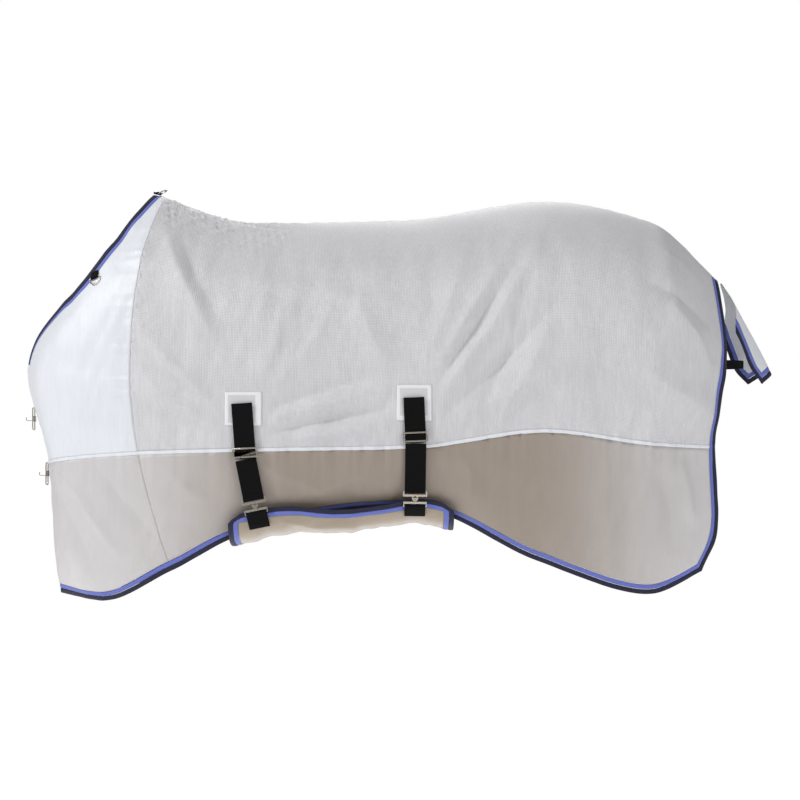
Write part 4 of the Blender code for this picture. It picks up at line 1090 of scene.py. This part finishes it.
def make_floor():
    """A plain pale floor under the sheet, where the horse would stand."""
    bm = bmesh.new()
    bmesh.ops.create_grid(bm, x_segments=1, y_segments=1, size=FLOOR_HALF)
    bmesh.ops.translate(bm, verts=bm.verts, vec=(FLOOR_X, 0.0, CAD_BOX[0].z - FLOOR_DROP))
    mesh = bpy.data.meshes.new("studio_floor")
    bm.to_mesh(mesh)
    bm.free()
    floor = bpy.data.objects.new("studio_floor", mesh)
    bpy.context.scene.collection.objects.link(floor)
    # Matt white emulsion paint that holds a little of its own light, so the floor stays pale
    paint, tree = new_look("matt_white_floor_paint")
    shader = add(tree, "BsdfPrincipled", {
        "Base Color": hex_colour("#fbfbfb"), "Roughness": 0.9,
        "Emission Color": (1.0, 1.0, 1.0, 1.0), "Emission Strength": 0.50,
    })
    add(tree, "OutputMaterial", links={"Surface": shader.outputs["BSDF"]})
    mesh.materials.append(paint)


def make_light():
    """Soft boxes and a white surround."""
    scene = bpy.context.scene
    world = bpy.data.worlds.new("studio")
    scene.world = world
    world.use_nodes = True
    tree = world.node_tree
    white = tree.nodes["Background"]
    white.inputs["Color"].default_value = (1.0, 1.0, 1.0, 1.0)
    rays = add(tree, "LightPath")
    strength = add(tree, "MapRange", {"To Min": SURROUND_LIGHT, "To Max": 1.0},
                   {"Value": rays.outputs["Is Camera Ray"]})
    tree.links.new(strength.outputs["Result"], white.inputs["Strength"])
    centre = Vector(LAMPS_AIM)
    for name, place, size, power in LAMPS:
        lamp = bpy.data.lights.new(name, "AREA")
        lamp.size = size
        lamp.energy = power
        holder = bpy.data.objects.new(name, lamp)
        holder.location = place
        holder.rotation_euler = (centre - Vector(place)).to_track_quat("-Z", "Y").to_euler()
        scene.collection.objects.link(holder)
    scene.view_settings.view_transform = "Standard"


def make_camera():
    """The camera, level and square to the near side."""
    eye = bpy.data.cameras.new("camera")
    eye.lens = LENS
    eye.sensor_width = SENSOR
    camera = bpy.data.objects.new("camera", eye)
    camera.location = CAMERA_PLACE
    camera.rotation_euler = (math.pi / 2, 0.0, 0.0)
    bpy.context.scene.collection.objects.link(camera)
    bpy.context.scene.camera = camera


# ---------------------------------------------------------------- settings

def length(name, description, default):
    """A size of the sheet, in metres."""
    return bpy.props.FloatProperty(
        name=name, description=description, default=default, min=0.0001, unit="LENGTH", subtype="DISTANCE")


def colour(name, description, default):
    """A colour of the sheet, from its sRGB hex value."""
    return bpy.props.FloatVectorProperty(
        name=name, description=description, default=hex_colour(default)[:3], size=3, min=0.0, max=1.0,
        subtype="COLOR")


class FlySheetSizes(bpy.types.PropertyGroup):
    """Sizes of the cloth, edging and fittings."""

    cloth: length("Cloth", "Thickness of the cloth panels", 0.0012)
    tape: length("Seam tape", "Thickness of the tape over the seams", 0.0016)
    binding: length("Binding", "Thickness of the navy binding", 0.0020)
    trim: length("Trim", "Thickness of the blue trim inside the binding", 0.0016)
    pile: length("Fleece", "Thickness of the fleece under the withers", 0.0060)
    mesh_pitch: length("Mesh pitch", "Spacing of the threads of the mesh", 0.0040)
    webbing_edge: length("Webbing edge", "Rounding of the edges of the webbing", 0.0004)
    metal_edge: length("Metal edge", "Rounding of the edges of the fittings", 0.0006)
    folds: bpy.props.FloatProperty(
        name="Folds", description="How deep the folds of the cloth are", default=1.0, min=0.0, max=1.2,
        subtype="FACTOR")


class FlySheetColours(bpy.types.PropertyGroup):
    """Colours of the cloth, edging and fittings."""

    mesh: colour("Mesh", "Mesh over the back and sides", "#dcdbde")
    shoulder: colour("Shoulder", "Smooth cloth over the shoulders, tail flap and seams", "#e1e4ea")
    # Painted shade: the shoulders' smooth cloth in a darker, warmer colour, as the skirts face down away from the
    # lamps
    skirt: colour("Skirt", "Cloth of the skirts at the front and rear", "#c9c6c7")
    # Painted shade: the skirts' colour where they hang over the shade under the belly
    skirt_belly_shade: colour("Skirt centre", "Cloth of the skirts over the belly", "#978b80")
    # Painted shade: a darker tan for the cream taffeta, which hangs in the shade under the belly
    belly_band: colour("Belly band", "Taffeta of the belly band", "#a09280")
    fleece: colour("Fleece", "Fleece under the withers", "#f4f2ef")
    binding: colour("Binding", "Binding round every edge", "#111138")
    trim: colour("Trim", "Trim inside the binding", "#6a77cc")
    webbing: colour("Webbing", "Straps and tabs", "#040405")
    metal: colour("Metal", "Rings, sliders, plates and hooks", "#cbc3b5")


# ---------------------------------------------------------------- operators and panel

class FLY_SHEET_OT_stage(bpy.types.Operator):
    """Adds the floor, the lights and the camera."""

    bl_idname = "fly_sheet.stage"
    bl_label = "Stage"

    def execute(self, context):
        make_floor()
        make_light()
        make_camera()
        return {"FINISHED"}


class FLY_SHEET_OT_fleece(bpy.types.Operator):
    """Adds the fleece under the withers."""

    bl_idname = "fly_sheet.fleece"
    bl_label = "Withers fleece"

    def execute(self, context):
        make_fleece(context.scene.fly_sheet_sizes)
        return {"FINISHED"}


class FLY_SHEET_OT_panels(bpy.types.Operator):
    """Adds the mesh panels and the skirts of both sides."""

    bl_idname = "fly_sheet.panels"
    bl_label = "Body panels and skirts"

    def execute(self, context):
        make_panels(context.scene.fly_sheet_sizes)
        return {"FINISHED"}


class FLY_SHEET_OT_shoulders(bpy.types.Operator):
    """Adds the smooth shoulder panels of both sides."""

    bl_idname = "fly_sheet.shoulders"
    bl_label = "Shoulder panels"

    def execute(self, context):
        make_shoulders(context.scene.fly_sheet_sizes)
        return {"FINISHED"}


class FLY_SHEET_OT_tapes(bpy.types.Operator):
    """Adds the tapes over the side seams and along the back."""

    bl_idname = "fly_sheet.tapes"
    bl_label = "Seam tapes"

    def execute(self, context):
        make_tapes(context.scene.fly_sheet_sizes)
        return {"FINISHED"}


class FLY_SHEET_OT_edging(bpy.types.Operator):
    """Adds the binding and trim round the neck, hem and rear."""

    bl_idname = "fly_sheet.edging"
    bl_label = "Binding and trim"

    def execute(self, context):
        make_edging(context.scene.fly_sheet_sizes)
        return {"FINISHED"}


class FLY_SHEET_OT_tail_flap(bpy.types.Operator):
    """Adds the tail flap with its binding and trim."""

    bl_idname = "fly_sheet.tail_flap"
    bl_label = "Tail flap"

    def execute(self, context):
        make_tail(context.scene.fly_sheet_sizes)
        return {"FINISHED"}


class FLY_SHEET_OT_belly_band(bpy.types.Operator):
    """Adds the belly band with its binding and trim."""

    bl_idname = "fly_sheet.belly_band"
    bl_label = "Belly band"

    def execute(self, context):
        make_band(context.scene.fly_sheet_sizes)
        return {"FINISHED"}


class FLY_SHEET_OT_webbing(bpy.types.Operator):
    """Adds the straps, chest straps and sewn tabs of black webbing."""

    bl_idname = "fly_sheet.webbing"
    bl_label = "Straps and tabs"

    def execute(self, context):
        make_webbing(context.scene.fly_sheet_sizes)
        return {"FINISHED"}


class FLY_SHEET_OT_fittings(bpy.types.Operator):
    """Adds the sliders, keyhole plates, hooks, buckles, snaps and rings."""

    bl_idname = "fly_sheet.fittings"
    bl_label = "Metal fittings"

    def execute(self, context):
        make_metal(context.scene.fly_sheet_sizes)
        return {"FINISHED"}


class FLY_SHEET_OT_patches(bpy.types.Operator):
    """Adds the cloth patches behind the belly straps."""

    bl_idname = "fly_sheet.patches"
    bl_label = "Strap patches"

    def execute(self, context):
        make_patches(context.scene.fly_sheet_sizes)
        return {"FINISHED"}


class FLY_SHEET_PT_pieces(bpy.types.Panel):
    """Lists the sizes, the colours and the pieces of the fly sheet."""

    bl_idname = "FLY_SHEET_PT_pieces"
    bl_label = "Fly Sheet"
    bl_space_type = "VIEW_3D"
    bl_region_type = "UI"
    bl_category = "Fly Sheet"

    def draw(self, context):
        for settings in (context.scene.fly_sheet_sizes, context.scene.fly_sheet_colours):
            box = self.layout.box()
            for name in settings.__annotations__:
                box.prop(settings, name)
        for piece in OPERATORS:
            self.layout.operator(piece.bl_idname)


OPERATORS = (
    FLY_SHEET_OT_stage, FLY_SHEET_OT_fleece, FLY_SHEET_OT_panels, FLY_SHEET_OT_shoulders, FLY_SHEET_OT_tapes,
    FLY_SHEET_OT_edging, FLY_SHEET_OT_tail_flap, FLY_SHEET_OT_belly_band, FLY_SHEET_OT_webbing,
    FLY_SHEET_OT_fittings, FLY_SHEET_OT_patches,
)
CLASSES = (FlySheetSizes, FlySheetColours) + OPERATORS + (FLY_SHEET_PT_pieces,)


def register():
    """Registers the settings, the operators and the panel."""
    for kind in CLASSES:
        bpy.utils.register_class(kind)
    bpy.types.Scene.fly_sheet_sizes = bpy.props.PointerProperty(type=FlySheetSizes)
    bpy.types.Scene.fly_sheet_colours = bpy.props.PointerProperty(type=FlySheetColours)


def unregister():
    """Removes what register added."""
    del bpy.types.Scene.fly_sheet_colours
    del bpy.types.Scene.fly_sheet_sizes
    for kind in reversed(CLASSES):
        bpy.utils.unregister_class(kind)


def main():
    """Makes every piece."""
    register()
    bpy.ops.fly_sheet.stage()
    bpy.ops.fly_sheet.fleece()
    bpy.ops.fly_sheet.panels()
    bpy.ops.fly_sheet.shoulders()
    bpy.ops.fly_sheet.tapes()
    bpy.ops.fly_sheet.edging()
    bpy.ops.fly_sheet.tail_flap()
    bpy.ops.fly_sheet.belly_band()
    bpy.ops.fly_sheet.webbing()
    bpy.ops.fly_sheet.fittings()
    bpy.ops.fly_sheet.patches()
    declare_sheets()


if __name__ == "__main__":
    main()
